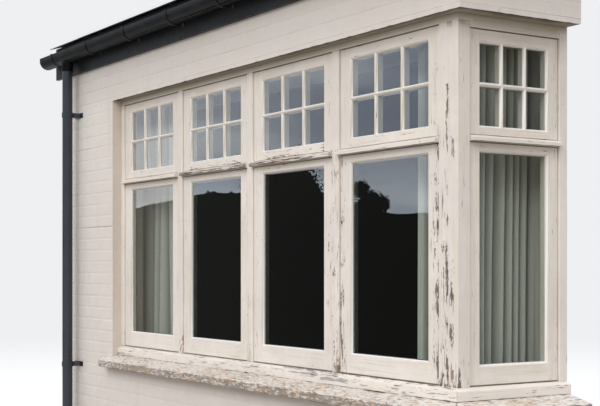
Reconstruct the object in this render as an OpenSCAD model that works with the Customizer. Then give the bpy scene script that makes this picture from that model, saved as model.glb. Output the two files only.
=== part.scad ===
// Bay window in a painted brick bay, with four front lights, one side light and a lean-to roof.
// X runs along the front, Y towards the house and Z up. The origin is on the ground, at the
// middle of the bay's width, in the plane of the house wall. The bay's back is open to the room.

/* [Brickwork] */
// Height of one brick course with its joint
course = 75; // [70:1:78]
// Thickness of the one-brick walls
wall_t = 215; // [205:1:225]
// Width of the brick pier left of the window
pier_w = 788; // [650:2:1000]
// Courses from the ground to the underside of the stone sill
sill_courses = 12; // [10:1:13]
// Courses of the brick band over the window
band_courses = 4; // [4:1:6]
// Depth from the front brick face to the face of the timber frame
front_reveal = 60; // [50:1:90]
// Depth from the side brick face to the face of the timber frame
side_reveal = 85; // [75:1:110]
// Thickness of the steel lintel plate under the band
lintel_t = 20; // [12:1:30]
// Length of lintel built into the pier
lintel_bearing = 150; // [100:10:200]

/* [Stone sill] */
// Projection of the stone sill from the brick faces
stone_proj = 70; // [50:1:90]
// Height of the stone sill's nose
stone_nose_h = 45; // [35:1:60]
// Height of the stone sill under the timber cill
stone_h = 77; // [65:1:95]
// Length of the sill's end past the window's left edge
stone_horn = 77; // [40:1:110]
// Width and depth of the drip groove
drip_w = 10; // [6:1:14]

/* [Timber frame] */
// Depth of the frame's members
frame_d = 95; // [85:1:110]
// Width of the left jamb's face
jamb_w = 41; // [35:1:70]
// Width of a mullion's face
mullion_w = 58; // [50:1:90]
// Width of the corner post on the front
post_w = 128; // [105:1:140]
// Width of the corner post on the side
post_d = 69; // [60:1:90]
// Width of the jamb against the house wall
house_jamb_w = 47; // [40:1:70]
// Height of the timber cill's nose
cill_nose_h = 42; // [35:1:50]
// Height of the timber cill at the frame's face
cill_h = 55; // [52:1:70]
// Projection of the timber cill's nose
cill_proj = 25; // [15:1:40]
// Height of the transom's face
transom_h = 28; // [24:1:45]
// Projection of the transom's drip
transom_proj = 22; // [14:1:35]
// Height of the frame head's face
head_h = 30; // [24:1:50]
// Extra depth of the head over the side light
side_head_drop = 25; // [10:1:40]
// Lap of the sashes on the frame's stops
stop_lap = 13; // [9:1:16]
// Small bevel on the long edges of the mullions and the post
arris = 3; // [1:0.5:5]

/* [Lights] */
// Number of lights on the front
lights = 4; // [3:1:5]
// Width of a front light between frame members
light_w = 756; // [600:2:850]
// Width of the side light between frame members
side_light_w = 514; // [420:2:560]
// Height of the casements' openings
casement_h = 1040; // [900:5:1150]
// Height of the fanlights' openings
fanlight_h = 478; // [400:1:520]
// Gap between a sash and the frame
sash_gap = 3; // [2:0.5:4]
// Thickness of the sashes
sash_t = 44; // [40:1:50]
// Depth of the sashes' faces behind the frame's face
sash_in = 10; // [0:1:15]
// Width of a front sash's stiles
stile_w = 86; // [60:1:100]
// Width of the side sashes' stiles
side_stile_w = 64; // [50:1:80]
// Height of a front casement's bottom rail
bottom_rail_h = 97; // [70:1:120]
// Height of the side casement's bottom rail
side_bottom_rail_h = 88; // [70:1:120]
// Height of a casement's top rail
top_rail_h = 41; // [35:1:60]
// Height of a front fanlight's bottom rail
fan_bottom_rail_h = 49; // [40:1:70]
// Height of the side fanlight's bottom rail
side_fan_bottom_rail_h = 40; // [32:1:60]
// Height of a fanlight's top rail
fan_top_rail_h = 57; // [45:1:70]
// Width of a glazing bar
bar_w = 20; // [17:1:28]
// Columns of panes in a fanlight
fan_cols = 3; // [2:1:4]
// Rows of panes in a fanlight
fan_rows = 2; // [1:1:3]
// Width of the putty bevel round each pane
putty_w = 8; // [5:1:10]
// Depth of the putty bevel in front of the glass
putty_d = 12; // [8:1:16]
// Thickness of the glass
glass_t = 4; // [3:1:6]
// Lap of the glass behind the putty
glass_lap = 5; // [3:1:6]

/* [Inside] */
// Thickness of the floor slab
floor_t = 150; // [100:5:200]
// Thickness of the ceiling board
ceiling_t = 13; // [9:1:18]
// Thickness of the window board
board_t = 25; // [20:1:32]
// Projection of the window board past the wall's inner face
board_nose = 12; // [6:1:16]
// Thickness of the gathered curtains
curtain_t = 80; // [60:1:90]
// Distance of the curtains' middle from the inner face of the walls
curtain_in = 60; // [58:1:90]
// Width of the left curtain
curtain_left_w = 780; // [500:10:1000]
// Width of the right curtain's part on the front
curtain_right_w = 260; // [150:10:400]
// Height of the curtains' hem over the floor
curtain_hem = 20; // [10:1:60]
// Width of the curtain track
track_w = 22; // [16:1:30]
// Height of the curtain track
track_h = 15; // [10:1:25]

/* [Roof] */
// Slope of the roof in degrees
pitch = 18; // [14:1:24]
// Width of the wall plate on the front band
plate_w = 100; // [75:1:110]
// Height of the wall plate
plate_h = 75; // [50:1:100]
// Distance of the wall plate from the brick face
plate_in = 100; // [80:1:115]
// Depth of the rafters' seat on the wall plate
birdsmouth = 20; // [10:1:30]
// Width of the rafters and joists
rafter_w = 47; // [38:1:60]
// Depth of the rafters
rafter_d = 100; // [90:1:125]
// Number of rafters
rafter_count = 10; // [7:1:12]
// Number of ceiling joists
joist_count = 9; // [6:1:11]
// Depth of the ceiling joists
joist_d = 97; // [75:1:125]
// Thickness of the ledger on the house wall
ledger_t = 38; // [25:1:50]
// Thickness of the roof boards
deck_t = 18; // [12:1:25]
// Thickness of the slates
slate_t = 14; // [8:1:20]
// Overhang of the slates past the brick face
slate_eaves = 70; // [55:1:90]
// Overhang of the roof past the side walls
verge = 120; // [80:5:160]
// Thickness of the verge boards
verge_board_t = 20; // [15:1:30]
// Depth of the verge boards
verge_board_h = 160; // [130:5:200]
// Overhang of the slates past the verge boards
slate_verge = 10; // [5:1:30]
// Thickness of the fascia
fascia_t = 25; // [18:1:32]
// Lap of the fascia over the brick band
fascia_lap = 78; // [60:1:120]
// Height of the fascia
fascia_h = 193; // [175:1:198]
// Thickness of the lead flashing
lead_t = 3; // [2:0.5:4]
// Width of the flashing on the slates
lead_apron = 150; // [100:10:200]
// Height of the flashing up the house wall
lead_up = 75; // [50:5:150]

/* [Rainwater] */
// Width of the deep half-round gutter
gutter_w = 115; // [100:1:125]
// Depth of the gutter
gutter_h = 75; // [70:1:90]
// Wall of the gutter
gutter_t = 3; // [2:0.5:4]
// Height of the gutter's rim over the fascia's lower edge
gutter_up = 142; // [120:1:160]
// Number of gutter brackets
bracket_count = 8; // [4:1:9]
// Width of a gutter bracket
bracket_w = 26; // [18:1:40]
// Space between the gutter and the fascia
bracket_t = 5; // [3:1:8]
// Diameter of the downpipe
pipe_dia = 68; // [60:1:76]
// Wall of the downpipe
pipe_t = 3; // [2:0.5:4]
// Distance of the downpipe's middle from the bay's left face
pipe_in = 243; // [160:1:400]
// Heights of the pipe clips over the ground
clip_low_z = 870; // [400:10:1100]
// Height of the upper pipe clip
clip_high_z = 2550; // [2000:10:2650]
// Height of a pipe clip
clip_h = 32; // [20:1:45]
// Width of a pipe clip's lugs
clip_w = 124; // [110:1:150]

/* [Hidden] */
$fn = 48;

// Plan: the frame's outer faces and the brick faces
frame_w = jamb_w + lights * light_w + (lights - 1) * mullion_w + post_w;
bay_w = pier_w + frame_w + side_reveal;
bay_d = front_reveal + post_d + side_light_w + house_jamb_w;
right = bay_w / 2;
left = -right;
frame_x = right - side_reveal;
frame_y = -bay_d + front_reveal;
recess_x = left + pier_w;
inner_y = -bay_d + wall_t;
inner_x = right - wall_t;
stop_d = sash_in + sash_t;

// Levels above the ground
sill_z = sill_courses * course;
cill_z = sill_z + stone_h;
casement_z = cill_z + cill_h;
transom_z = casement_z + casement_h;
fanlight_z = transom_z + transom_h;
head_z = fanlight_z + fanlight_h;
side_head_z = head_z - side_head_drop;
lintel_z = head_z + head_h;
band_z = lintel_z + lintel_t;
band_top = band_z + band_courses * course;
stop_z = casement_z + stop_lap;
board_z = stop_z - board_t - 10;

// Roof: heights of its layers, which all rise towards the house wall
slope = tan(pitch);
plate_y = -bay_d + plate_in;
rafter_v = rafter_d / cos(pitch);
deck_v = deck_t / cos(pitch);
slate_v = slate_t / cos(pitch);
function under(y) = band_top + plate_h - birdsmouth + (y - plate_y) * slope;
roof_half = right + verge;
fascia_y = -bay_d - fascia_t;
fascia_z = band_top - fascia_lap;

// Rainwater goods
gutter_y = fascia_y - bracket_t - gutter_w / 2;
rim_z = fascia_z + gutter_up;
pipe_x = left + pipe_in;
gutter_r = gutter_w / 2;
eps = 0.01;
far = 10000;

// Colours
brick_paint = [0.84, 0.80, 0.77];
wood_paint = [0.86, 0.83, 0.79];
stone_grey = [0.74, 0.72, 0.69];
dark_grey = [0.20, 0.21, 0.23];
raw_wood = [0.66, 0.52, 0.36];
plaster = [0.90, 0.89, 0.86];
curtain_cloth = [0.66, 0.68, 0.64];

// Left edge of front light i, which counts from 0
function light_u(i) = recess_x + jamb_w + i * (light_w + mullion_w);

// Places a piece drawn with X along the face and Y outwards from a plane behind the frame's face
module on_front(behind = 0) {
    translate([0, frame_y + behind, 0]) mirror([0, 1, 0]) children();
}

module on_side(behind = 0) {
    translate([frame_x - behind, 0, 0]) mirror([1, -1, 0]) children();
}

// A box from its low corner to its high corner
module block(a, b) {
    translate(a) cube(b - a);
}

// An outline of Y and Z values, run along X
module along_x(x0, x1) {
    translate([x0, 0, 0]) rotate([90, 0, 90]) linear_extrude(x1 - x0) children();
}

// Plan of what lies more than d inside the frame's outer faces
module inside_plan(d, x0 = recess_x) {
    translate([x0, frame_y + d]) square([frame_x - d - x0, -frame_y - d]);
}

// Plan of the strip from d0 to d1 inside the frame's outer faces
module strip_plan(d0, d1) {
    difference() {
        inside_plan(d0);
        inside_plan(d1);
    }
}

// The half of the plan on either side of the mitre at the corner
module front_half() {
    translate([frame_x, frame_y, -1]) rotate(-45) translate([-far, -2 * far, 0])
        cube([2 * far, 2 * far, far]);
}

module side_half() {
    translate([frame_x, frame_y, -1]) rotate(-45) translate([-far, 0, 0])
        cube([2 * far, 2 * far, far]);
}

// A sill whose section runs round the corner. Sections list the inset from the frame's
// face and the height, and the lower of the two heights counts at the mitre.
module corner_sill(front_section, side_section, x0) {
    intersection() {
        translate([x0, frame_y, 0]) rotate([90, 0, 90]) linear_extrude(far) polygon(front_section);
        translate([frame_x, 0, 0]) mirror([1, 0, 0]) rotate([90, 0, 0]) linear_extrude(far)
            polygon(side_section);
        translate([x0, -far, 0]) cube([far, far, far]);
    }
}

// Brickwork
module front_wall() {
    color(brick_paint) {
        block([recess_x, -bay_d, 0], [right, inner_y, sill_z]);
        block([recess_x, frame_y + frame_d, sill_z], [frame_x - frame_d, inner_y, board_z]);
    }
}

module side_wall() {
    color(brick_paint) {
        block([inner_x, inner_y, 0], [right, 0, sill_z]);
        block([inner_x, inner_y, sill_z], [frame_x - frame_d, 0, board_z]);
    }
}

module left_pier() {
    color(brick_paint) difference() {
        block([left, -bay_d, 0], [recess_x, inner_y, band_top]);
        block([recess_x - lintel_bearing, plate_y, lintel_z], [recess_x + 1, inner_y + 1, band_z]);
    }
}

// The part of a side wall over height z, up to the slope of the rafters
module gable(x0, z) {
    along_x(x0, x0 + wall_t) polygon([[inner_y, z], [0, z], [0, under(0)],
        [-bay_d, under(-bay_d)], [-bay_d, band_top], [inner_y, band_top]]);
}

module left_side_wall() {
    color(brick_paint) gable(left, 0);
}

module brick_band_front() {
    color(brick_paint) block([recess_x, -bay_d, band_z], [right, inner_y, band_top]);
}

module brick_band_side() {
    color(brick_paint) gable(inner_x, band_z);
}

module lintel_front() {
    color(brick_paint) {
        block([recess_x, -bay_d, lintel_z], [right, inner_y, band_z]);
        block([recess_x - lintel_bearing, plate_y, lintel_z], [recess_x + eps, inner_y, band_z]);
    }
}

module lintel_side() {
    color(brick_paint) block([inner_x, inner_y, lintel_z], [right, 0, band_z]);
}

module floor_slab() {
    color("darkgray") block([left + wall_t, inner_y, 0], [inner_x, 0, floor_t]);
}

// Stone sill
function stone_section(reveal) = [[-reveal - stone_proj, sill_z],
    [-reveal - stone_proj, sill_z + stone_nose_h], [-cill_proj, cill_z], [far / 2, cill_z],
    [far / 2, sill_z]];

module stone_sill() {
    groove_in = stone_proj - 2 * drip_w;
    difference() {
        corner_sill(stone_section(front_reveal), stone_section(side_reveal), recess_x - stone_horn);
        translate([0, 0, sill_z - 1]) linear_extrude(stone_h + 2) inside_plan(frame_d, recess_x);
        block([recess_x - stone_horn - 1, -bay_d, sill_z - 1], [recess_x, 0, cill_z + 1]);
        block([recess_x - stone_horn + drip_w, -bay_d - groove_in - drip_w, sill_z - 1],
            [right + groove_in + drip_w, -bay_d - groove_in, sill_z + drip_w]);
        block([right + groove_in, -bay_d - groove_in - drip_w, sill_z - 1],
            [right + groove_in + drip_w, 1, sill_z + drip_w]);
    }
}

module stone_sill_front() {
    color(stone_grey) intersection() {
        stone_sill();
        front_half();
    }
}

module stone_sill_side() {
    color(stone_grey) intersection() {
        stone_sill();
        side_half();
    }
}

// Timber frame
cill_section = [[-cill_proj, cill_z], [-cill_proj, cill_z + cill_nose_h], [0, casement_z],
    [stop_d, casement_z], [stop_d, stop_z], [far / 2, stop_z], [far / 2, cill_z]];

module timber_cill() {
    difference() {
        corner_sill(cill_section, cill_section, recess_x);
        translate([0, 0, cill_z - 1]) linear_extrude(stop_z) inside_plan(frame_d);
    }
}

module timber_cill_front() {
    color(wood_paint) intersection() {
        timber_cill();
        front_half();
    }
}

module timber_cill_side() {
    color(wood_paint) intersection() {
        timber_cill();
        side_half();
    }
}

module frame_head() {
    translate([0, 0, head_z]) linear_extrude(head_h) strip_plan(0, frame_d);
    translate([0, 0, head_z - stop_lap]) linear_extrude(stop_lap + eps)
        strip_plan(stop_d, frame_d);
}

module frame_head_front() {
    color(wood_paint) intersection() {
        frame_head();
        front_half();
    }
}

module frame_head_side() {
    color(wood_paint) {
        intersection() {
            frame_head();
            side_half();
        }
        on_side() {
            block([side_u, -stop_d - eps, side_head_z], [-house_jamb_w, 0, head_z + eps]);
            block([side_u + stop_lap, -frame_d, side_head_z - stop_lap],
                [-house_jamb_w - stop_lap, -stop_d, head_z - stop_lap]);
        }
    }
}

// An upright with a face from u0 to u1 and stops that stand past it on the sides named
module upright(u0, u1, lap0, lap1) {
    translate([0, 0, casement_z]) linear_extrude(head_z - casement_z) polygon([
        [u0, -stop_d - eps], [u0, -arris * sign(lap0)], [u0 + arris * sign(lap0), 0],
        [u1 - arris * sign(lap1), 0], [u1, -arris * sign(lap1)], [u1, -stop_d - eps]]);
    block([u0 - lap0, -frame_d, stop_z], [u1 + lap1, -stop_d, head_z - stop_lap]);
}

module left_jamb() {
    color(wood_paint) on_front() upright(recess_x, recess_x + jamb_w, 0, stop_lap);
}

module mullion(i) {
    u = light_u(i);
    color(wood_paint) on_front() upright(u - mullion_w, u, stop_lap, stop_lap);
}

module house_jamb() {
    color(wood_paint) on_side() upright(-house_jamb_w, 0, stop_lap, 0);
}

module corner_post() {
    x0 = frame_x - post_w;
    y1 = frame_y + post_d;
    color(wood_paint) {
        translate([0, 0, casement_z]) linear_extrude(head_z - casement_z) polygon([
            [x0 + arris, frame_y], [frame_x - arris, frame_y], [frame_x, frame_y + arris],
            [frame_x, y1 - arris], [frame_x - arris, y1], [frame_x - stop_d, y1],
            [frame_x - stop_d, frame_y + stop_d], [x0, frame_y + stop_d], [x0, frame_y + arris]]);
        translate([0, 0, stop_z]) linear_extrude(head_z - stop_lap - stop_z) polygon([
            [x0 - stop_lap, frame_y + stop_d - eps], [frame_x - stop_d + eps, frame_y + stop_d - eps],
            [frame_x - stop_d + eps, y1 + stop_lap], [frame_x - frame_d, y1 + stop_lap],
            [frame_x - frame_d, frame_y + frame_d], [x0 - stop_lap, frame_y + frame_d]]);
    }
}

// A transom between two uprights, with a weathered drip on its face
module transom(u0, u1) {
    drip_gap = transom_h / 14;
    along_x(u0, u1) polygon([[-stop_d - eps, transom_z], [0, transom_z],
        [0, transom_z + drip_gap], [transom_proj, transom_z + drip_gap],
        [transom_proj, transom_z + transom_h * 0.6], [0, fanlight_z - drip_gap],
        [0, fanlight_z], [-stop_d - eps, fanlight_z]]);
    block([u0 + stop_lap, -frame_d, transom_z - stop_lap], [u1 - stop_lap, -stop_d, fanlight_z + stop_lap]);
}

module front_transoms() {
    color(wood_paint) on_front() for (i = [0:lights - 1]) transom(light_u(i), light_u(i) + light_w);
}

module side_transom() {
    color(wood_paint) on_side() transom(-house_jamb_w - side_light_w, -house_jamb_w);
}

// Low and high corners, along the face and up, of pane (c, r) in a sash's glazed area
function pane_low(area, cols, rows, c, r) = [
    area[0] + c * (area[2] - area[0] + bar_w) / cols,
    area[1] + r * (area[3] - area[1] + bar_w) / rows];
function pane_size(area, cols, rows) = [
    (area[2] - area[0] + bar_w) / cols - bar_w,
    (area[3] - area[1] + bar_w) / rows - bar_w];

// Outline of an opening that widens towards the sash's face, w wide from s
module flared(s, w) {
    polygon([[s, -putty_d], [s + w, -putty_d], [s + w + putty_w, 0], [s + w + putty_w, 1],
        [s - putty_w, 1], [s - putty_w, 0]]);
}

// The space of one pane: the putty bevels, the glass's groove and the inner opening
module pane_space(low, size) {
    intersection() {
        translate([0, 0, low[1] - 2 * putty_w]) linear_extrude(size[1] + 4 * putty_w)
            flared(low[0], size[0]);
        translate([low[0] - 2 * putty_w, 0, 0]) rotate([90, 0, 90])
            linear_extrude(size[0] + 4 * putty_w) mirror([1, -1, 0]) flared(low[1], size[1]);
    }
    block([low[0], -sash_t - 1, low[1]], [low[0] + size[0], -putty_d + eps, low[1] + size[1]]);
    block([low[0] - glass_lap, -putty_d - glass_t, low[1] - glass_lap],
        [low[0] + size[0] + glass_lap, -putty_d, low[1] + size[1] + glass_lap]);
}

// A sash in the opening from (u0, z0), w by h, round the glazed area
module sash(u0, z0, w, h, area, cols, rows) {
    size = pane_size(area, cols, rows);
    difference() {
        block([u0 + sash_gap, -sash_t, z0 + sash_gap], [u0 + w - sash_gap, 0, z0 + h - sash_gap]);
        for (c = [0:cols - 1]) for (r = [0:rows - 1])
            pane_space(pane_low(area, cols, rows, c, r), size);
    }
}

module panes(area, cols, rows) {
    size = pane_size(area, cols, rows);
    for (c = [0:cols - 1]) for (r = [0:rows - 1]) {
        low = pane_low(area, cols, rows, c, r);
        block([low[0] - glass_lap, -putty_d - glass_t, low[1] - glass_lap],
            [low[0] + size[0] + glass_lap, -putty_d, low[1] + size[1] + glass_lap]);
    }
}

function casement_area(u0, w, stile, rail) = [u0 + sash_gap + stile, casement_z + sash_gap + rail,
    u0 + w - sash_gap - stile, transom_z - sash_gap - top_rail_h];
function fanlight_area(u0, w, stile, rail, top) = [u0 + sash_gap + stile,
    fanlight_z + sash_gap + rail, u0 + w - sash_gap - stile, top - sash_gap - fan_top_rail_h];
function front_casement_area(i) = casement_area(light_u(i), light_w, stile_w, bottom_rail_h);
function front_fanlight_area(i) = fanlight_area(light_u(i), light_w, stile_w, fan_bottom_rail_h,
    head_z);
side_u = -house_jamb_w - side_light_w;
side_casement_area = casement_area(side_u, side_light_w, side_stile_w, side_bottom_rail_h);
side_fanlight_area = fanlight_area(side_u, side_light_w, side_stile_w, side_fan_bottom_rail_h,
    side_head_z);

module casement(i) {
    u = light_u(i);
    color(wood_paint) on_front(sash_in)
        sash(u, casement_z, light_w, casement_h, front_casement_area(i), 1, 1);
}

module side_casement() {
    color(wood_paint) on_side(sash_in) sash(side_u, casement_z, side_light_w, casement_h,
        side_casement_area, 1, 1);
}

module fanlight(i) {
    u = light_u(i);
    color(wood_paint) on_front(sash_in) sash(u, fanlight_z, light_w, fanlight_h,
        front_fanlight_area(i), fan_cols, fan_rows);
}

module side_fanlight() {
    color(wood_paint) on_side(sash_in) sash(side_u, fanlight_z, side_light_w,
        fanlight_h - side_head_drop, side_fanlight_area, fan_cols, fan_rows);
}

module casement_glass() {
    color("lightblue", 0.4) on_front(sash_in) for (i = [0:lights - 1])
        panes(front_casement_area(i), 1, 1);
}

module fanlight_glass() {
    color("lightblue", 0.4) on_front(sash_in) for (i = [0:lights - 1])
        panes(front_fanlight_area(i), fan_cols, fan_rows);
}

module side_glass() {
    color("lightblue", 0.4) on_side(sash_in) {
        panes(side_casement_area, 1, 1);
        panes(side_fanlight_area, fan_cols, fan_rows);
    }
}

// Inside
module window_board_front() {
    color(wood_paint) block([recess_x, frame_y + frame_d, board_z],
        [inner_x - board_nose, inner_y + board_nose, board_z + board_t]);
}

module window_board_side() {
    color(wood_paint) block([inner_x - board_nose, frame_y + frame_d, board_z],
        [frame_x - frame_d, 0, board_z + board_t]);
}

module ceiling() {
    color(plaster) block([left + wall_t, inner_y, lintel_z], [inner_x, 0, lintel_z + ceiling_t]);
}

curtain_y = inner_y + curtain_in;
curtain_x = inner_x - curtain_in;

module curtain_track() {
    color("white") {
        block([left + wall_t, curtain_y - track_w / 2, lintel_z - track_h],
            [curtain_x + track_w / 2, curtain_y + track_w / 2, lintel_z]);
        block([curtain_x - track_w / 2, curtain_y, lintel_z - track_h],
            [curtain_x + track_w / 2, 0, lintel_z]);
    }
}

// A gathered curtain on the plan from a to b, hung just under the track
module curtain(a, b) {
    track_clearance = 0.3;
    color(curtain_cloth) block([a[0], a[1], floor_t + curtain_hem],
        [b[0], b[1], lintel_z - track_h - track_clearance]);
}

module curtain_left() {
    x0 = recess_x - curtain_left_w * 0.4;
    curtain([x0, curtain_y - curtain_t / 2], [x0 + curtain_left_w, curtain_y + curtain_t / 2]);
}

module curtain_right_front() {
    x1 = curtain_x - curtain_t / 2 - 5;
    curtain([x1 - curtain_right_w, curtain_y - curtain_t / 2], [x1, curtain_y + curtain_t / 2]);
}

module curtain_right_side() {
    curtain([curtain_x - curtain_t / 2, curtain_y - curtain_t / 2], [curtain_x + curtain_t / 2, -10]);
}

// Roof
module wall_plate() {
    color(raw_wood) block([left + wall_t, plate_y, band_top],
        [inner_x, plate_y + plate_w, band_top + plate_h]);
}

module ledger() {
    color(raw_wood) block([left + wall_t, -ledger_t, under(-ledger_t)],
        [inner_x, 0, under(-ledger_t) + rafter_v]);
}

// A roof layer between two heights over the rafters' underside, from y0 to y1
module roof_layer(x0, x1, y0, y1, v0, v1) {
    along_x(x0, x1) polygon([[y0, under(y0) + v0], [y1, under(y1) + v0],
        [y1, under(y1) + v1], [y0, under(y0) + v1]]);
}

module rafters() {
    first = -roof_half + verge_board_t;
    step = (2 * (roof_half - verge_board_t) - rafter_w) / (rafter_count - 1);
    color(raw_wood) for (i = [0:rafter_count - 1]) {
        x = first + i * step;
        over_side = x + rafter_w <= left + wall_t || x >= inner_x;
        difference() {
            roof_layer(x, x + rafter_w, -bay_d, over_side ? 0 : -ledger_t, 0, rafter_v);
            wall_plate();
            ledger();
        }
    }
}

module ceiling_joists() {
    step = (inner_x - left - wall_t - rafter_w) / (joist_count - 1);
    color(raw_wood) for (i = [0:joist_count - 1])
        translate([left + wall_t + i * step, inner_y, lintel_z + ceiling_t])
            cube([rafter_w, -inner_y, joist_d]);
}

module roof_deck() {
    color(raw_wood) roof_layer(-roof_half, roof_half, fascia_y, 0, rafter_v, rafter_v + deck_v);
}

module roof_slates() {
    color("slategray") roof_layer(-roof_half - slate_verge, roof_half + slate_verge,
        -bay_d - slate_eaves, 0, rafter_v + deck_v, rafter_v + deck_v + slate_v);
}

module lead_flashing() {
    v = rafter_v + deck_v + slate_v;
    top = under(0) + v;
    color("gray") along_x(-roof_half, roof_half) polygon([[-lead_apron, under(-lead_apron) + v],
        [0, top], [0, top + lead_up], [-lead_t, top + lead_up], [-lead_t, under(-lead_t) + v + lead_t],
        [-lead_apron, under(-lead_apron) + v + lead_t]]);
}

module verge_boards() {
    color(dark_grey) for (x = [-roof_half, roof_half - verge_board_t])
        roof_layer(x, x + verge_board_t, -bay_d, 0, rafter_v - verge_board_h, rafter_v);
}

module fascia() {
    color(dark_grey) difference() {
        block([-roof_half, fascia_y, fascia_z], [roof_half, -bay_d, fascia_z + fascia_h]);
        roof_layer(-roof_half - 1, roof_half + 1, fascia_y - 1, -bay_d + 1, rafter_v, far / 10);
    }
}

// Rainwater goods
// Outline of the gutter's outside, less a wall of t
module gutter_outline(t) {
    r = gutter_r - t;
    translate([0, -gutter_h + gutter_r]) circle(r);
    translate([-r, -gutter_h + gutter_r]) square([2 * r, gutter_h - gutter_r]);
}

module gutter() {
    end_t = 4;
    outlet_h = 60;
    bead_r = 4;
    bottom = rim_z - gutter_h;
    color(dark_grey) difference() {
        translate([0, gutter_y, rim_z]) {
            along_x(-roof_half, roof_half) difference() {
                gutter_outline(0);
                gutter_outline(gutter_t);
                translate([-gutter_r, 0]) square([gutter_w, gutter_w]);
            }
            for (x = [-roof_half, roof_half - end_t])
                along_x(x, x + end_t) difference() {
                    gutter_outline(0);
                    translate([-gutter_r, 0]) square([gutter_w, gutter_w]);
                }
            translate([-roof_half, -gutter_r + bead_r, -bead_r]) rotate([0, 90, 0])
                cylinder(r = bead_r, h = 2 * roof_half);
            translate([pipe_x, 0, -gutter_h - outlet_h + gutter_t])
                cylinder(d = pipe_dia + 2 * gutter_t, h = outlet_h);
        }
        translate([pipe_x, gutter_y, bottom - outlet_h - 1])
            cylinder(d = pipe_dia, h = outlet_h - gutter_t);
        translate([pipe_x, gutter_y, bottom - outlet_h - 1])
            cylinder(d = pipe_dia - 2 * pipe_t, h = outlet_h + 20);
    }
}

module gutter_brackets() {
    strap_t = 3;
    rim_cap = 8;
    step = (2 * roof_half - 400 - bracket_w) / (bracket_count - 1);
    color(dark_grey) for (i = [0:bracket_count - 1])
        translate([-roof_half + 200 + i * step, gutter_y, rim_z]) {
            along_x(0, bracket_w) difference() {
                gutter_outline(-strap_t);
                gutter_outline(0);
                translate([-gutter_w, 0]) square([2 * gutter_w, gutter_w]);
            }
            block([0, gutter_r, -gutter_h], [bracket_w, gutter_r + bracket_t, 0]);
            block([0, -gutter_r - strap_t, 0], [bracket_w, -gutter_r + rim_cap, strap_t]);
        }
}

module downpipe() {
    top = rim_z - gutter_h - 2 * gutter_t - 1;
    color(dark_grey) translate([pipe_x, gutter_y, 0]) difference() {
        cylinder(d = pipe_dia, h = top);
        translate([0, 0, -1]) cylinder(d = pipe_dia - 2 * pipe_t, h = top + 2);
    }
}

module pipe_clips() {
    ring_t = 4;
    lug_t = 5;
    web_w = 26;
    wall_gap = -bay_d - gutter_y;
    color(dark_grey) for (z = [clip_low_z, clip_high_z]) translate([pipe_x, gutter_y, z]) {
        difference() {
            union() {
                cylinder(d = pipe_dia + 2 * ring_t, h = clip_h);
                block([-web_w / 2, pipe_dia / 2, 0], [web_w / 2, wall_gap - lug_t + eps, clip_h]);
            }
            translate([0, 0, -1]) cylinder(d = pipe_dia, h = clip_h + 2);
        }
        block([-clip_w / 2, wall_gap - lug_t, 0], [clip_w / 2, wall_gap, clip_h]);
    }
}

front_wall();
side_wall();
left_pier();
left_side_wall();
lintel_front();
lintel_side();
brick_band_front();
brick_band_side();
floor_slab();
stone_sill_front();
stone_sill_side();
timber_cill_front();
timber_cill_side();
frame_head_front();
frame_head_side();
left_jamb();
mullion(1);  // mullion_1
mullion(2);  // mullion_2
mullion(3);  // mullion_3
corner_post();
house_jamb();
front_transoms();
side_transom();
casement(0);  // casement_1
casement(1);  // casement_2
casement(2);  // casement_3
casement(3);  // casement_4
side_casement();
fanlight(0);  // fanlight_1
fanlight(1);  // fanlight_2
fanlight(2);  // fanlight_3
fanlight(3);  // fanlight_4
side_fanlight();
casement_glass();
fanlight_glass();
side_glass();
window_board_front();
window_board_side();
ceiling();
curtain_track();
curtain_left();
curtain_right_front();
curtain_right_side();
wall_plate();
ledger();
rafters();
ceiling_joists();
roof_deck();
roof_slates();
lead_flashing();
verge_boards();
fascia();
gutter();
gutter_brackets();
downpipe();
pipe_clips();
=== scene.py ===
# The looks of a bay window: painted brickwork, timber casements and fanlights, stone sill,
# lean-to roof and rainwater goods. Lengths are metres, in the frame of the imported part.
import math
import random

import bmesh
import bpy
from bpy.props import FloatProperty, FloatVectorProperty, IntProperty, PointerProperty
from mathutils import Matrix, Vector, noise


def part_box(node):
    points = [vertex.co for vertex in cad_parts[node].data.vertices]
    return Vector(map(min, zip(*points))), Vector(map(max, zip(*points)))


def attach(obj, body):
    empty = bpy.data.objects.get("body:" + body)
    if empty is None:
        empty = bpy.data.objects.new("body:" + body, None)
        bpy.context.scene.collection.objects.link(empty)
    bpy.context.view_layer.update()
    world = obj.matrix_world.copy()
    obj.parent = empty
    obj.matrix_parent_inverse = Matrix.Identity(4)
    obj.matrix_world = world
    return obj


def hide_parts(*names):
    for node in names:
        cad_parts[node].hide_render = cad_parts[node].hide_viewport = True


bl_info = {
    "name": "Bay Window",
    "version": (1, 0, 0),
    "blender": (4, 5, 0),
    "location": "3D View > Sidebar > Bay Window",
    "description": "Dresses the packed bay window with brickwork, joinery, roof and curtains",
    "category": "Object",
}

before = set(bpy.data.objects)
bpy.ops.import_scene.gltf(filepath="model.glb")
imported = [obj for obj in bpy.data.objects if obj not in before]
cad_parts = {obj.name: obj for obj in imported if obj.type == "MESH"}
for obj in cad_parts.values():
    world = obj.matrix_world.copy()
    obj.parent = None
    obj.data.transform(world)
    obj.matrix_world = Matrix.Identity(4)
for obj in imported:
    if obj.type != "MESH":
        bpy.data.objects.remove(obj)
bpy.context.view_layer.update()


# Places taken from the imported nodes
def low(node):
    """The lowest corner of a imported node's box"""
    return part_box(node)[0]


def high(node):
    """Its highest corner"""
    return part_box(node)[1]


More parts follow.
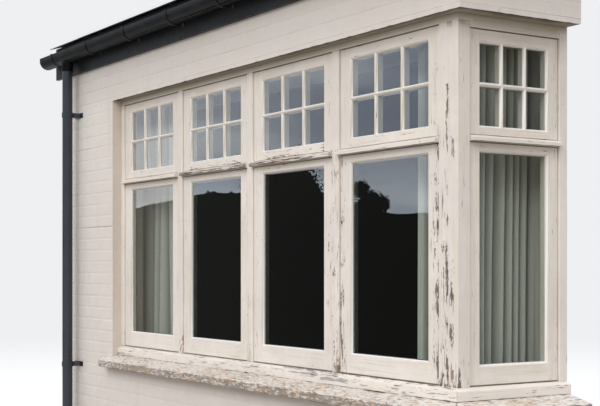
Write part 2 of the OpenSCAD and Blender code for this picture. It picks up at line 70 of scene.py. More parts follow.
FRONT_Y = low("front_wall").y
LEFT_X = low("left_pier").x
RIGHT_X = high("front_wall").x
RECESS_X = high("left_pier").x
FRAME_Y = low("frame_head_front").y
FRAME_X = high("frame_head_side").x
SILL_Z = low("stone_sill_front").z
CASEMENT_Z = low("left_jamb").z
HEAD_Z = high("left_jamb").z
LINTEL_Z = low("lintel_front").z
BAND_Z = low("brick_band_front").z
BAND_TOP = high("brick_band_front").z
GABLE_TOP = high("left_side_wall").z
FAN_Z = low("fanlight_1").z
FIRST_LIGHT = low("casement_1").x
LIGHT_STEP = low("casement_2").x - FIRST_LIGHT
SASH_W = high("casement_1").x - FIRST_LIGHT
POST_X = high("casement_4").x

# Turns face coordinates (along the face, depth inwards, up) into the part's frame
ON_FRONT = Matrix.Translation((0, FRAME_Y, 0))
ON_SIDE = Matrix.Translation((FRAME_X, 0, 0)) @ Matrix.Rotation(math.radians(90), 4, "Z")


def colour(name, description, value):
    """A colour that the panel of properties shows"""
    return FloatVectorProperty(name=name, description=description, subtype="COLOR", size=3,
                               min=0, max=1, default=value)


def length(name, description, value):
    """A length in metres, likewise"""
    return FloatProperty(name=name, description=description, default=value, unit="LENGTH")


class BrickSizes(bpy.types.PropertyGroup):
    """Sizes of the painted bricks"""
    course: length("Course", "Height of one course with its joint", 0.075)
    stretcher: length("Stretcher", "Length of a whole brick", 0.215)
    header: length("Header", "Width of a brick", 0.1025)
    closer: length("Closer", "Cut brick beside a header at a corner", 0.04625)
    joint: length("Joint", "Width of the mortar joints", 0.010)
    upright: length("Upright joint", "Width of the upright joints, filled with paint", 0.0025)
    proud: length("Proud", "How far the bricks stand out of the mortar", 0.0012)
    arris: length("Arris", "Rounding of the painted edges", 0.0026)
    uneven: length("Uneven", "Most that a brick lies out of line", 0.0008)


class JoinerySizes(bpy.types.PropertyGroup):
    """Sizes of the sashes' members"""
    stile: length("Stile", "Face width of a front sash's stiles", 0.086)
    side_stile: length("Side stile", "Face width of the side sashes' stiles", 0.064)
    bottom_rail: length("Bottom rail", "Height of a casement's bottom rail", 0.097)
    side_bottom_rail: length("Side bottom rail", "Height of the side casement's bottom rail", 0.088)
    top_rail: length("Top rail", "Height of a casement's top rail", 0.041)
    fan_bottom_rail: length("Fanlight bottom rail", "Height of its bottom rail", 0.049)
    side_fan_bottom_rail: length("Side fanlight bottom rail", "Height of its bottom rail", 0.040)
    fan_top_rail: length("Fanlight top rail", "Height of its top rail", 0.057)
    bar: length("Glazing bar", "Width of a glazing bar", 0.020)
    putty_width: length("Putty width", "Width of the putty bevel", 0.008)
    putty_depth: length("Putty depth", "Depth of the putty in front of the glass", 0.012)
    glass: length("Glass", "Thickness of the panes", 0.004)
    columns: IntProperty(name="Columns", description="Panes across a fanlight", default=3)
    rows: IntProperty(name="Rows", description="Panes up a fanlight", default=2)
    arris: length("Arris", "Rounding of the timber's edges", 0.0012)


class RoofSizes(bpy.types.PropertyGroup):
    """Sizes of the slates"""
    pitch: FloatProperty(name="Pitch", description="Slope of the roof", subtype="ANGLE",
                         default=math.radians(18))
    slate_width: length("Slate width", "Width of one slate", 0.250)
    gauge: length("Gauge", "Length of a slate that shows", 0.165)
    slate: length("Slate", "Thickness of one slate", 0.005)


class FinishColours(bpy.types.PropertyGroup):
    """Colours of the finishes"""
    brick: colour("Brick paint", "Masonry paint on the brickwork", (0.675, 0.622, 0.584))
    # Darker and warmer than the brick paint: partly a warmer paint, partly painted shade of the
    # reveal
    reveal: colour("Reveal paint", "Paint on the reveal beside the lights", (0.660, 0.590, 0.515))
    wood: colour("Wood paint", "Old gloss paint on the joinery", (0.745, 0.688, 0.635))
    undercoat: colour("Undercoat", "Yellowed older coat", (0.690, 0.600, 0.490))
    timber: colour("Bare timber", "Weathered timber where paint is gone", (0.190, 0.145, 0.122))
    silver_timber: colour("Silver timber", "Timber bleached where the rain stands",
                          (0.400, 0.355, 0.355))
    fresh_timber: colour("Fresh timber", "Timber bared not long ago", (0.430, 0.300, 0.215))
    # Olive colour of the painted shade under the head, on downward faces and at the casements' feet
    grime: colour("Grime", "Olive dirt on sheltered faces", (0.245, 0.203, 0.130))
    # Pale colour of the painted highlight on the rails' upward faces
    washed: colour("Washed paint", "Paint on ledges that the rain washes", (0.900, 0.885, 0.860))
    # Near black painted shade on the casements behind the glass
    stain: colour("Stain", "Timber behind the glass", (0.050, 0.048, 0.042))
    # Also the colour of the painted shade line under some courses of bricks
    crack: colour("Crack", "Dark line of an open crack", (0.085, 0.062, 0.050))
    stone: colour("Stone", "Stone of the sill", (0.250, 0.212, 0.185))
    stone_paint: colour("Stone paint", "Flaking paint on the sill", (0.695, 0.645, 0.598))
    lichen: colour("Lichen", "Orange-brown growth on the sill", (0.480, 0.310, 0.170))
    # Near black and olive-brown: painted shade with dirt on the soffit, darkest at the outer edge
    soffit: colour("Soffit", "Stained outer edge of the soffit", (0.052, 0.043, 0.027))
    soffit_inner: colour("Inner soffit", "Paint of the soffit beside the frame",
                         (0.270, 0.235, 0.180))
    gutter: colour("Gutter", "Gutter and brackets", (0.007, 0.0075, 0.009))
    pipe: colour("Pipe", "Downpipe and clips", (0.018, 0.0215, 0.031))
    board: colour("Boards", "Fascia and verge boards", (0.008, 0.0085, 0.010))
    slate: colour("Slate", "Roof slates", (0.085, 0.092, 0.105))
    lead: colour("Lead", "Flashing", (0.235, 0.245, 0.260))
    curtain: colour("Curtain", "Curtain cloth", (0.660, 0.640, 0.575))
    raw_wood: colour("Raw wood", "Sawn roof timbers", (0.420, 0.290, 0.170))
    plaster: colour("Plaster", "Ceiling", (0.300, 0.290, 0.265))
    inner_wall: colour("Inner wall", "Inner faces of the walls", (0.850, 0.670, 0.550))
    concrete: colour("Concrete", "Floor slab", (0.340, 0.330, 0.310))
    bare_brick: colour("Bare brick", "Brickwork where the walls are cut off", (0.330, 0.130, 0.075))


class StudioSettings(bpy.types.PropertyGroup):
    """Camera, light and background"""
    camera_at: FloatVectorProperty(name="Camera", description="Place of the camera",
                                   subtype="TRANSLATION", unit="LENGTH", size=3,
                                   default=(6.087, -4.005, 1.54))
    camera_turn: FloatProperty(name="Turn", description="Turn of the camera from the house wall",
                               subtype="ANGLE", default=math.radians(57.4))
    focal: FloatProperty(name="Focal length", description="Focal length in millimetres", default=75)
    shift: FloatProperty(name="Shift", description="Upward shift of the picture", default=0.1067)
    sky: FloatProperty(name="Sky", description="Strength of the world's light", default=1.18)
    key: FloatProperty(name="Key", description="Power of the soft key light", subtype="POWER",
                       default=7000)
    background: colour("Background", "Pale background", (0.86, 0.87, 0.88))
    mirrored: colour("Mirrored background", "Low sky that glass and metal mirror",
                     (0.78, 0.89, 1.0))
    mirrored_high: colour("Mirrored high sky", "Sky that glass mirrors higher up",
                          (0.52, 0.59, 0.71))
    mirrored_cloud: colour("Mirrored cloud", "Cloud that the leftmost panes mirror",
                           (1.0, 1.0, 1.0))
    floor: colour("Floor", "Pale studio floor", (0.72, 0.72, 0.71))
    floor_light: colour("Floor light", "Tone of the light that the floor throws up",
                        (0.30, 0.275, 0.235))


def settings(name):
    """One of the groups of sizes and colours that the scene holds"""
    return getattr(bpy.context.scene, "bay_" + name)


# Shader nodes
def add(tree, kind, inputs=(), **attributes):
    """A shader node; an input that is a socket is linked, and any other is set"""
    made = tree.nodes.new("ShaderNode" + kind)
    for name, value in attributes.items():
        setattr(made, name, value)
    for name, value in dict(inputs).items():
        if isinstance(value, bpy.types.NodeSocket):
            tree.links.new(value, made.inputs[name])
        else:
            made.inputs[name].default_value = value
    return made


def paint(value):
    """A colour with full cover, as a socket takes it"""
    return (*value, 1.0)


def noise_of(tree, vector, scale, detail=4.0, roughness=0.5):
    """Cloudy noise about 0.5"""
    return add(tree, "TexNoise", {"Vector": vector, "Scale": scale, "Detail": detail,
                                  "Roughness": roughness}).outputs["Fac"]


def calc(tree, operation, a, b=0.0):
    """One sum of two values, by the name of its operation"""
    return add(tree, "Math", {0: a, 1: b}, operation=operation).outputs[0]


def plus(tree, a, b):
    """a + b"""
    return calc(tree, "ADD", a, b)


def minus(tree, a, b):
    """a - b"""
    return calc(tree, "SUBTRACT", a, b)


def times(tree, a, b):
    """a * b"""
    return calc(tree, "MULTIPLY", a, b)


def between(tree, value, start, end, to_start=0.0, to_end=1.0):
    """A smooth step from one value to another"""
    return add(tree, "MapRange", {"Value": value, "From Min": start, "From Max": end,
                                  "To Min": to_start, "To Max": to_end},
               interpolation_type="SMOOTHSTEP").outputs["Result"]


def mix(tree, factor, a, b, blend="MIX"):
    """Colour a at a factor of 0 and b at 1, or both blended another way"""
    return add(tree, "Mix", {0: factor, 6: a, 7: b}, data_type="RGBA", blend_type=blend).outputs[2]


def attribute(tree, name):
    """A value that a mesh carries on its vertices"""
    return add(tree, "Attribute", attribute_name=name).outputs["Fac"]


def one_axis(tree, vector, axis):
    """The X, Y or Z of a place"""
    return add(tree, "SeparateXYZ", {"Vector": vector}).outputs[axis]


def stretch(tree, vector, scale=(1, 1, 1), turn=(0, 0, 0), move=(0, 0, 0)):
    """Coordinates that draw a pattern out, turn it and shift it"""
    return add(tree, "Mapping", {"Vector": vector, "Scale": scale, "Rotation": turn,
                                 "Location": move}).outputs[0]


def bump(tree, height, distance, strength=1.0):
    """The normal of a surface with a height in metres times distance"""
    return add(tree, "Bump", {"Height": height, "Distance": distance,
                              "Strength": strength}).outputs[0]


def effect(name, inputs, outputs):
    """An empty node group with named sockets, and its inner ends"""
    tree = bpy.data.node_groups.new(name, "ShaderNodeTree")
    for socket, value in inputs.items():
        kind = "NodeSocketVector" if value is None else "NodeSocketFloat"
        made = tree.interface.new_socket(name=socket, in_out="INPUT", socket_type=kind)
        if value is not None:
            made.default_value = value
    for socket in outputs:
        tree.interface.new_socket(name=socket, in_out="OUTPUT", socket_type="NodeSocketFloat")
    return tree, tree.nodes.new("NodeGroupInput").outputs, tree.nodes.new("NodeGroupOutput").inputs


# Shader groups
def mottle_effect():
    """Soft blotches from 0 to 1, from a broad and a finer noise"""
    tree, given, result = effect("mottle", {"Vector": None, "Scale": 2.0}, ["Value"])
    broad = noise_of(tree, given["Vector"], given["Scale"], 3.0)
    fine = noise_of(tree, given["Vector"], times(tree, given["Scale"], 7.0), 5.0, 0.6)
    both = plus(tree, times(tree, broad, 0.6), times(tree, fine, 0.4))
    tree.links.new(between(tree, both, 0.36, 0.64), result["Value"])
    return tree


def grain_effect():
    """Brushed ridges, hairlines and short open cracks of timber whose grain runs along Z"""
    tree, given, result = effect("grain", {"Vector": None, "Wear": 0.1},
                                 ["Ridges", "Hairs", "Cracks"])
    vector = given["Vector"]
    ridges = noise_of(tree, stretch(tree, vector, (1, 1, 0.03)), 260.0, 3.0)
    hairs = noise_of(tree, stretch(tree, vector, (1, 1, 0.012), move=(3, 0, 0)), 210.0, 2.0)
    lines = noise_of(tree, stretch(tree, vector, (1, 1, 0.06)), 180.0, 3.0, 0.6)
    place = noise_of(tree, stretch(tree, vector, (1, 1, 0.25)), 11.0, 2.0)
    worn = plus(tree, times(tree, given["Wear"], 0.15), times(tree, place, 0.26))
    edge = minus(tree, 0.86, worn)
    tree.links.new(ridges, result["Ridges"])
    tree.links.new(between(tree, hairs, 0.60, 0.68), result["Hairs"])
    tree.links.new(between(tree, lines, edge, plus(tree, edge, 0.03)), result["Cracks"])
    return tree


def flaking_effect():
    """Patches where paint has come off along the grain, with the rim of the coats below"""
    inputs = {"Vector": None, "Wear": 0.1, "Scale": 60.0, "Rim width": 0.03}
    tree, given, result = effect("flaking", inputs, ["Bare", "Rim"])
    patches = noise_of(tree, given["Vector"], given["Scale"], 6.0, 0.6)
    ragged = noise_of(tree, stretch(tree, given["Vector"], (1, 1, 2.5)),
                      times(tree, given["Scale"], 2.3), 3.0, 0.6)
    patches = plus(tree, patches, between(tree, ragged, 0.3, 0.7, -0.075, 0.075))
    place = noise_of(tree, given["Vector"], times(tree, given["Scale"], 0.12), 2.0)
    worn = plus(tree, times(tree, given["Wear"], 0.24), times(tree, place, 0.24))
    edge = minus(tree, 0.91, worn)
    bare = between(tree, patches, edge, plus(tree, edge, 0.012))
    near = between(tree, patches, minus(tree, edge, given["Rim width"]), edge)
    tree.links.new(bare, result["Bare"])
    tree.links.new(minus(tree, near, bare), result["Rim"])
    return tree


EFFECTS = {"mottle": mottle_effect, "grain": grain_effect, "flaking": flaking_effect}


def place_effect(tree, name, **inputs):
    """Places a shader group, which is made the first time"""
    group = bpy.data.node_groups.get(name) or EFFECTS[name]()
    inputs = {socket.replace("_", " "): value for socket, value in inputs.items()}
    return add(tree, "Group", inputs, node_tree=group).outputs


def mottled(tree, coords, scale):
    """Soft blotches of the mottle group"""
    return place_effect(tree, "mottle", Vector=coords, Scale=scale)["Value"]


# Materials
def start(name, **constants):
    """A material with its tree, its shader and the object coordinates"""
    material = bpy.data.materials.new(name)
    material.use_nodes = True
    tree = material.node_tree
    shader = tree.nodes["Principled BSDF"]
    for socket, value in constants.items():
        shader.inputs[socket.replace("_", " ")].default_value = value
    return material, tree, shader, tree.nodes.new("ShaderNodeTexCoord").outputs["Object"]


def give(tree, shader, **sockets):
    """Links what changes over the surface to the shader; _ stands for a space in a socket's name"""
    for name, value in sockets.items():
        tree.links.new(value, shader.inputs[name.replace("_", " ")])


def shade(value, share):
    """A darker or lighter shade of a colour"""
    return paint([min(1.0, c * share) for c in value])


def shades(value, dark, light):
    """Two shades of a colour, for a mottled mix"""
    return shade(value, dark), shade(value, light)


def show_both(tree, factor, first, second):
    """Shows the first shader at a factor of 0 and the second at 1"""
    both = add(tree, "MixShader", {0: factor, 1: first, 2: second}).outputs[0]
    tree.links.new(both, tree.nodes["Material Output"].inputs["Surface"])


# How coordinates turn so that Z runs along the grain of timber that lies along an axis
GRAIN = {"z": (0, 0, 0), "x": (0, math.radians(90), 0), "y": (math.radians(90), 0, 0)}


def painted_wood(name, way, flake=64.0, long=0.19, rim=0.03, silvered=False):
    """Old cream gloss on softwood, cracked and flaking along the grain"""
    colours = settings("colours")
    material, tree, shader, coords = start(name)
    along = stretch(tree, coords, turn=GRAIN[way])
    wear = attribute(tree, "wear")
    grain = place_effect(tree, "grain", Vector=along, Wear=wear)
    flakes = place_effect(tree, "flaking", Vector=stretch(tree, along, (1, 1, long)), Wear=wear,
                          Scale=flake, Rim_width=rim)
    blotch = mottled(tree, coords, 2.2)
    surface = mix(tree, blotch, *shades(colours.wood, 0.93, 1.04))
    streaks = noise_of(tree, stretch(tree, along, (1, 1, 0.06)), 42.0, 4.0)
    surface = mix(tree, between(tree, streaks, 0.48, 0.66, 0.0, 0.55), surface,
                  paint(colours.undercoat))
    surface = mix(tree, times(tree, grain["Hairs"], 0.28), surface, shade(colours.undercoat, 0.55))
    surface = mix(tree, flakes["Rim"], surface, shade(colours.wood, 1.08))
    timber = colours.silver_timber if silvered else colours.timber
    raw = mix(tree, grain["Ridges"], *shades(timber, 0.55, 1.45))
    newer = noise_of(tree, stretch(tree, along, (1, 1, 0.1)), 16.0, 3.0)
    newer = between(tree, newer, 0.54, 0.64, 0.0, 0.7)
    raw = mix(tree, newer, raw, paint(colours.fresh_timber))
    surface = mix(tree, flakes["Bare"], surface, raw)
    surface = mix(tree, times(tree, grain["Cracks"], 0.85), surface, paint(colours.crack))
    # Painted light, by a value on each vertex: under 0 a pale highlight, up to 1 olive shade, past
    # 1 near black shade
    grime = attribute(tree, "grime")
    surface = mix(tree, between(tree, grime, 0.0, -1.0), surface, paint(colours.washed))
    surface = mix(tree, grime, surface, paint(colours.grime))
    surface = mix(tree, between(tree, grime, 1.0, 1.6), surface, paint(colours.stain))
    rough = mix(tree, flakes["Bare"], (0.42, 0.42, 0.42, 1), (0.85, 0.85, 0.85, 1))
    height = times(tree, grain["Ridges"], 0.22)
    height = minus(tree, height, times(tree, grain["Hairs"], 0.3))
    height = plus(tree, height, times(tree, flakes["Rim"], 0.5))
    height = minus(tree, height, flakes["Bare"])
    height = minus(tree, height, times(tree, grain["Cracks"], 1.6))
    give(tree, shader, Base_Color=surface, Roughness=rough, Normal=bump(tree, height, 0.0007))
    return material


def weathered_wood(name, way):
    """The same paint where the rain stands: long flakes over wide bare stretches"""
    return painted_wood(name, way, 28.0, 0.05, 0.05, True)


def masonry_surface(tree, coords, value):
    """Colour and height of thick masonry paint"""
    broad = mottled(tree, coords, 0.9)
    small = mottled(tree, coords, 13.0)
    red, green, blue = value
    pink = [red, green * 0.975, blue * 0.97]
    pale = [red * 1.03, green * 1.045, blue * 1.05]
    surface = mix(tree, broad, paint(pink), paint(pale))
    surface = mix(tree, times(tree, small, 0.28), surface, shade(value, 0.86))
    runs = noise_of(tree, stretch(tree, coords, (1, 1, 0.12)), 9.0, 3.0)
    surface = mix(tree, between(tree, runs, 0.55, 0.75, 0.0, 0.22), surface, shade(value, 0.72))
    up = one_axis(tree, coords, "Z")
    # Painted shade of the roof's overhang, with dirt: darker from just under the band upwards
    eaves_dirt_and_shade = between(tree, up, BAND_Z - 0.1, BAND_Z + 0.1, 0.0, 0.55)
    surface = mix(tree, eaves_dirt_and_shade, surface, shade(value, 0.80))
    pits = between(tree, noise_of(tree, coords, 230.0, 3.0), 0.71, 0.77)
    surface = mix(tree, times(tree, pits, 0.5), surface, shade(value, 0.45))
    waves = noise_of(tree, coords, 30.0, 3.0)
    grit = noise_of(tree, coords, 420.0, 4.0, 0.6)
    height = plus(tree, times(tree, waves, 1.2), times(tree, grit, 0.22))
    return surface, minus(tree, height, times(tree, pits, 0.4))


def painted_brick(name):
    """Masonry paint on the faces of the bricks"""
    material, tree, shader, coords = start(name, Roughness=0.72)
    surface, height = masonry_surface(tree, coords, settings("colours").brick)
    give(tree, shader, Base_Color=surface, Normal=bump(tree, height, 0.0009))
    return material


def reveal_paint(name):
    """Smooth painted cement on the reveal, in a tone that is partly painted shade"""
    material, tree, shader, coords = start(name, Roughness=0.75)
    surface, height = masonry_surface(tree, coords, settings("colours").reveal)
    give(tree, shader, Base_Color=surface, Normal=bump(tree, height, 0.0007))
    return material


def way_up_course(tree, coords):
    """How far up its course of bricks a place is, from 0 to 1"""
    up = one_axis(tree, coords, "Z")
    return calc(tree, "FRACT", calc(tree, "DIVIDE", up, settings("bricks").course))


def painted_mortar(name):
    """Painted joints; a thin dark line under the bricks of a few courses: split and painted shade
    """
    material, tree, shader, coords = start(name, Roughness=0.8)
    surface, height = masonry_surface(tree, coords, settings("colours").brick)
    share = way_up_course(tree, coords)
    # Painted shade in the top of the joint, under the brick above, where the noise lets it show
    under = minus(tree, between(tree, share, 0.020, 0.032), between(tree, share, 0.068, 0.080))
    some = noise_of(tree, stretch(tree, coords, (0.3, 0.3, 13.3)), 1.5, 4.0)
    some = between(tree, some, 0.63, 0.70)
    crack = times(tree, under, some)
    surface = mix(tree, times(tree, crack, 0.7), surface, paint(settings("colours").crack))
    give(tree, shader, Base_Color=surface, Normal=bump(tree, height, 0.0012))
    return material


def bare_brick(name):
    """Courses of unpainted brick where a wall is cut off"""
    material, tree, shader, coords = start(name, Roughness=0.88)
    colours = settings("colours")
    share = way_up_course(tree, coords)
    joint = calc(tree, "MAXIMUM", between(tree, share, 0.90, 0.95),
                 between(tree, share, 0.10, 0.05))
    tones = noise_of(tree, stretch(tree, coords, (4, 4, 13.3)), 1.3, 4.0)
    surface = mix(tree, tones, *shades(colours.bare_brick, 0.5, 1.5))
    surface = mix(tree, joint, surface, paint(colours.concrete))
    grit = noise_of(tree, coords, 180.0, 6.0, 0.65)
    height = minus(tree, grit, joint)
    give(tree, shader, Base_Color=surface, Normal=bump(tree, height, 0.0025))
    return material


def sill_stone(name, along):
    """Stone under thick flaking paint, with flecks drawn out along the sill and bare patches"""
    colours = settings("colours")
    material, tree, shader, coords = start(name)
    top = attribute(tree, "top")
    patches = noise_of(tree, coords, 5.0, 3.0)
    drawn = stretch(tree, coords, along)
    rough_paint = noise_of(tree, drawn, 105.0, 7.0, 0.72)
    edge = minus(tree, 0.552, plus(tree, times(tree, top, 0.112), times(tree, patches, 0.12)))
    coat_on = between(tree, rough_paint, edge, plus(tree, edge, 0.075))
    specks = noise_of(tree, stretch(tree, drawn, move=(7, 3, 0)), 95.0, 5.0, 0.68)
    where = noise_of(tree, stretch(tree, coords, move=(4, 2, 0)), 6.0, 3.0)
    lichen = between(tree, plus(tree, specks, times(tree, where, 0.40)), 0.69, 0.79)
    grit = noise_of(tree, coords, 260.0, 4.0, 0.6)
    pits = between(tree, noise_of(tree, coords, 140.0, 4.0, 0.6), 0.66, 0.73)
    stone = mix(tree, grit, *shades(colours.stone, 0.65, 1.35))
    violet = noise_of(tree, stretch(tree, coords, move=(1, 6, 0)), 9.0, 4.0)
    violet = between(tree, violet, 0.45, 0.6)
    stone = mix(tree, times(tree, violet, 0.45), stone, (0.38, 0.355, 0.370, 1))
    white = mix(tree, grit, *shades(colours.stone_paint, 0.86, 1.1))
    surface = mix(tree, coat_on, stone, white)
    surface = mix(tree, times(tree, lichen, 0.6), surface, paint(colours.lichen))
    surface = mix(tree, times(tree, pits, 0.6), surface, (0.10, 0.085, 0.075, 1))
    height = plus(tree, coat_on, times(tree, grit, 0.5))
    height = minus(tree, height, pits)
    rough = mix(tree, coat_on, (0.9, 0.9, 0.9, 1), (0.62, 0.62, 0.62, 1))
    give(tree, shader, Base_Color=surface, Roughness=rough, Normal=bump(tree, height, 0.0014))
    return material


def speckled(name, value, scale, rough, dark=0.8, light=1.15, depth=0.0005, **constants):
    """A plain finish with mottled colour, uneven gloss and a fine bump"""
    material, tree, shader, coords = start(name, **constants)
    blotch = mottled(tree, coords, scale)
    grit = noise_of(tree, coords, scale * 40.0, 4.0, 0.6)
    uneven = plus(tree, times(tree, blotch, 0.18), rough - 0.09)
    give(tree, shader, Base_Color=mix(tree, blotch, *shades(value, dark, light)), Roughness=uneven,
         Normal=bump(tree, grit, depth))
    return material


def soffit_paint(name):
    """Paint of the soffit with dirt and painted shade, olive-brown and darkest at its outer edge"""
    colours = settings("colours")
    material, tree, shader, coords = start(name, Roughness=0.7)
    # Painted shade with dirt: the paint turns near black towards the soffit's outer edge
    inner = attribute(tree, "inward")
    blotch = mottled(tree, coords, 5.0)
    reach = plus(tree, inner, times(tree, blotch, 0.35))
    surface = mix(tree, between(tree, reach, 0.15, 1.0), paint(colours.soffit),
                  paint(colours.soffit_inner))
    grit = noise_of(tree, coords, 120.0, 4.0)
    give(tree, shader, Base_Color=surface, Normal=bump(tree, grit, 0.0006))
    return material


# Heights over which the gutter turns from black to lighter: painted light and shade, with fading
LIT_AND_FADED = (2.955, 3.012)


def gutter_plastic(name):
    """Black plastic: painted light and fading on its upper half, painted shade below"""
    material, tree, shader, coords = start(name, Roughness=0.5, Specular_IOR_Level=0.1)
    up = one_axis(tree, coords, "Z")
    blotch = mottled(tree, coords, 5.0)
    lit_and_faded = plus(tree, between(tree, up, *LIT_AND_FADED), between(tree, blotch, 0.0, 1.0, -0.15, 0.15))
    give(tree, shader, Base_Color=mix(tree, lit_and_faded, *shades(settings("colours").gutter, 0.25, 4.2)),
         Normal=bump(tree, noise_of(tree, coords, 200.0, 4.0, 0.6), 0.0002))
    return material


def pipe_plastic(name):
    """Dark plastic of the downpipe and its clips"""
    return speckled(name, settings("colours").pipe, 4.0, 0.36, 0.85, 1.25, 0.0002)


def board_paint(name):
    """Dark paint of the fascia and the verge boards"""
    return speckled(name, settings("colours").board, 4.0, 0.50, 0.8, 1.3, 0.0003,
                    Specular_IOR_Level=0.25)


def wall_plaster(name):
    """Painted plaster on the inner faces of the walls"""
    return speckled(name, settings("colours").inner_wall, 1.5, 0.85, 0.93, 1.03)


def ceiling_plaster(name):
    """Painted plaster of the ceiling"""
    return speckled(name, settings("colours").plaster, 2.0, 0.85, 0.95, 1.03)


def floor_concrete(name):
    """Bare concrete of the floor slab"""
    return speckled(name, settings("colours").concrete, 3.0, 0.85, 0.75, 1.2, 0.001)


def track_metal(name):
    """Pale coated metal of the curtain track"""
    return speckled(name, (0.78, 0.78, 0.76), 6.0, 0.4, 0.96, 1.02, 0.0001)


def roof_lead(name):
    """Dull lead of the flashing"""
    return speckled(name, settings("colours").lead, 3.5, 0.55, 0.7, 1.3, 0.0006, Metallic=0.6)


def roof_slate(name):
    """Riven slate, a little different from one slate to the next"""
    material, tree, shader, coords = start(name)
    own = attribute(tree, "shade")
    riven = noise_of(tree, stretch(tree, coords, (1, 0.35, 1)), 24.0, 7.0, 0.6)
    surface = mix(tree, own, *shades(settings("colours").slate, 0.7, 1.45))
    surface = mix(tree, between(tree, riven, 0.5, 0.75, 0.0, 0.5), surface, (0.16, 0.165, 0.16, 1))
    rough = plus(tree, times(tree, riven, 0.35), 0.35)
    give(tree, shader, Base_Color=surface, Roughness=rough, Normal=bump(tree, riven, 0.002))
    return material


def raw_wood(name, way):
    """Sawn softwood with its growth rings"""
    material, tree, shader, coords = start(name, Roughness=0.8)
    along = stretch(tree, stretch(tree, coords, turn=GRAIN[way]), (1, 1, 0.06))
    rings = noise_of(tree, along, 45.0, 4.0, 0.6)
    surface = mix(tree, between(tree, rings, 0.35, 0.65),
                  *shades(settings("colours").raw_wood, 0.65, 1.2))
    give(tree, shader, Base_Color=surface, Normal=bump(tree, rings, 0.0008))
    return material


def curtain_cloth(name):
    """Plain woven cloth with painted shade down in its folds; the threads follow the cloth"""
    material, tree, shader, _ = start(name, Roughness=0.9, Sheen_Weight=0.25)
    threads = tree.nodes.new("ShaderNodeTexCoord").outputs["UV"]
    waves = [add(tree, "TexWave", {"Vector": threads, "Scale": 190.0, "Distortion": 0.6,
                                   "Detail": 1.0},
                 bands_direction=way).outputs["Fac"] for way in "XY"]
    weave = calc(tree, "MAXIMUM", *waves)
    slubs = noise_of(tree, stretch(tree, threads, (60, 2, 1)), 6.0, 4.0)
    surface = mix(tree, slubs, *shades(settings("colours").curtain, 0.85, 1.15))
    surface = mix(tree, times(tree, weave, 0.2), surface, shade(settings("colours").curtain, 0.6))
    # Painted shade: the cloth darkens down in its folds and on its hems, by the value that the mesh
    # carries
    fold = attribute(tree, "fold")
    fold_shade = mix(tree, between(tree, fold, 0.08, 0.92), (0.20, 0.20, 0.19, 1), (1, 1, 1, 1))
    surface = mix(tree, 1.0, surface, fold_shade, "MULTIPLY")
    give(tree, shader, Base_Color=surface, Normal=bump(tree, weave, 0.0003))
    return material


def window_glass(name):
    """Clear glass with a slight wave and a second mirroring skin, which lets the lamps through"""
    material, tree, shader, coords = start(name, Roughness=0.0, IOR=1.5, Transmission_Weight=1.0,
                                           Coat_Weight=1.0, Coat_IOR=1.8, Coat_Roughness=0.0)
    shader.inputs["Base Color"].default_value = (0.93, 0.95, 0.945, 1)
    wave = bump(tree, noise_of(tree, coords, 2.6, 1.0), 0.0006, 0.5)
    give(tree, shader, Normal=wave, Coat_Normal=wave)
    clear = add(tree, "BsdfTransparent", {"Color": (0.88, 0.92, 0.91, 1)}).outputs[0]
    path = tree.nodes.new("ShaderNodeLightPath").outputs
    lets_by = calc(tree, "MAXIMUM", path["Is Shadow Ray"], path["Is Diffuse Ray"])
    show_both(tree, lets_by, shader.outputs[0], clear)
    return material


# Each finish: the function that makes it, and what it is given besides its name
FINISHES = {
    "painted_wood_z": (painted_wood, "z"),
    "painted_wood_x": (painted_wood, "x"),
    "painted_wood_y": (painted_wood, "y"),
    "weathered_wood_x": (weathered_wood, "x"),
    "weathered_wood_y": (weathered_wood, "y"),
    "raw_wood_x": (raw_wood, "x"),
    "raw_wood_y": (raw_wood, "y"),
    "painted_brick": (painted_brick,),
    "painted_mortar": (painted_mortar,),
    "reveal_paint": (reveal_paint,),
    "bare_brick": (bare_brick,),
    "sill_stone_x": (sill_stone, (0.24, 1, 1)),
    "sill_stone_y": (sill_stone, (1, 0.24, 1)),
    "soffit_paint": (soffit_paint,),
    "gutter_plastic": (gutter_plastic,),
    "pipe_plastic": (pipe_plastic,),
    "board_paint": (board_paint,),
    "wall_plaster": (wall_plaster,),
    "ceiling_plaster": (ceiling_plaster,),
    "floor_concrete": (floor_concrete,),
    "track_metal": (track_metal,),
    "roof_lead": (roof_lead,),
    "roof_slate": (roof_slate,),
    "curtain_cloth": (curtain_cloth,),
    "window_glass": (window_glass,),
}


def finish(name):
    """The material of a finish, which is made the first time"""
    maker, *given = FINISHES[name]
    label = "bay_" + name
    return bpy.data.materials.get(label) or maker(label, *given)


def coat(node, name):
    """Gives a CAD node that stays in view its material"""
    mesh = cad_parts[node].data
    mesh.materials.clear()
    mesh.materials.append(finish(name))


# Mesh helpers
# Angles past which an edge shows sharp, on flat pieces and on round ones
FLAT, ROUND = math.radians(20), math.radians(40)


def new_object(name, data):
    """An object at the origin, in the scene's collection"""
    made = bpy.data.objects.new(name, data)
    bpy.context.scene.collection.objects.link(made)
    return made


def new_mesh(name, bm, materials):
    """A mesh from a bmesh, which is used up"""
    mesh = bpy.data.meshes.new(name)
    bm.to_mesh(mesh)
    bm.free()
    for material in materials:
        mesh.materials.append(material)
    return mesh


def piece(name, bm, finishes, replaced=(), sharp=FLAT):
    """An object from a bmesh, riding on the part"""
    mesh = new_mesh(name, bm, [finish(entry) for entry in finishes])
    mesh.shade_smooth()
    mesh.set_sharp_from_angle(angle=sharp)
    made = new_object(name, mesh)
    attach(made, "root")
    if replaced:
        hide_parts(*replaced)
    return made


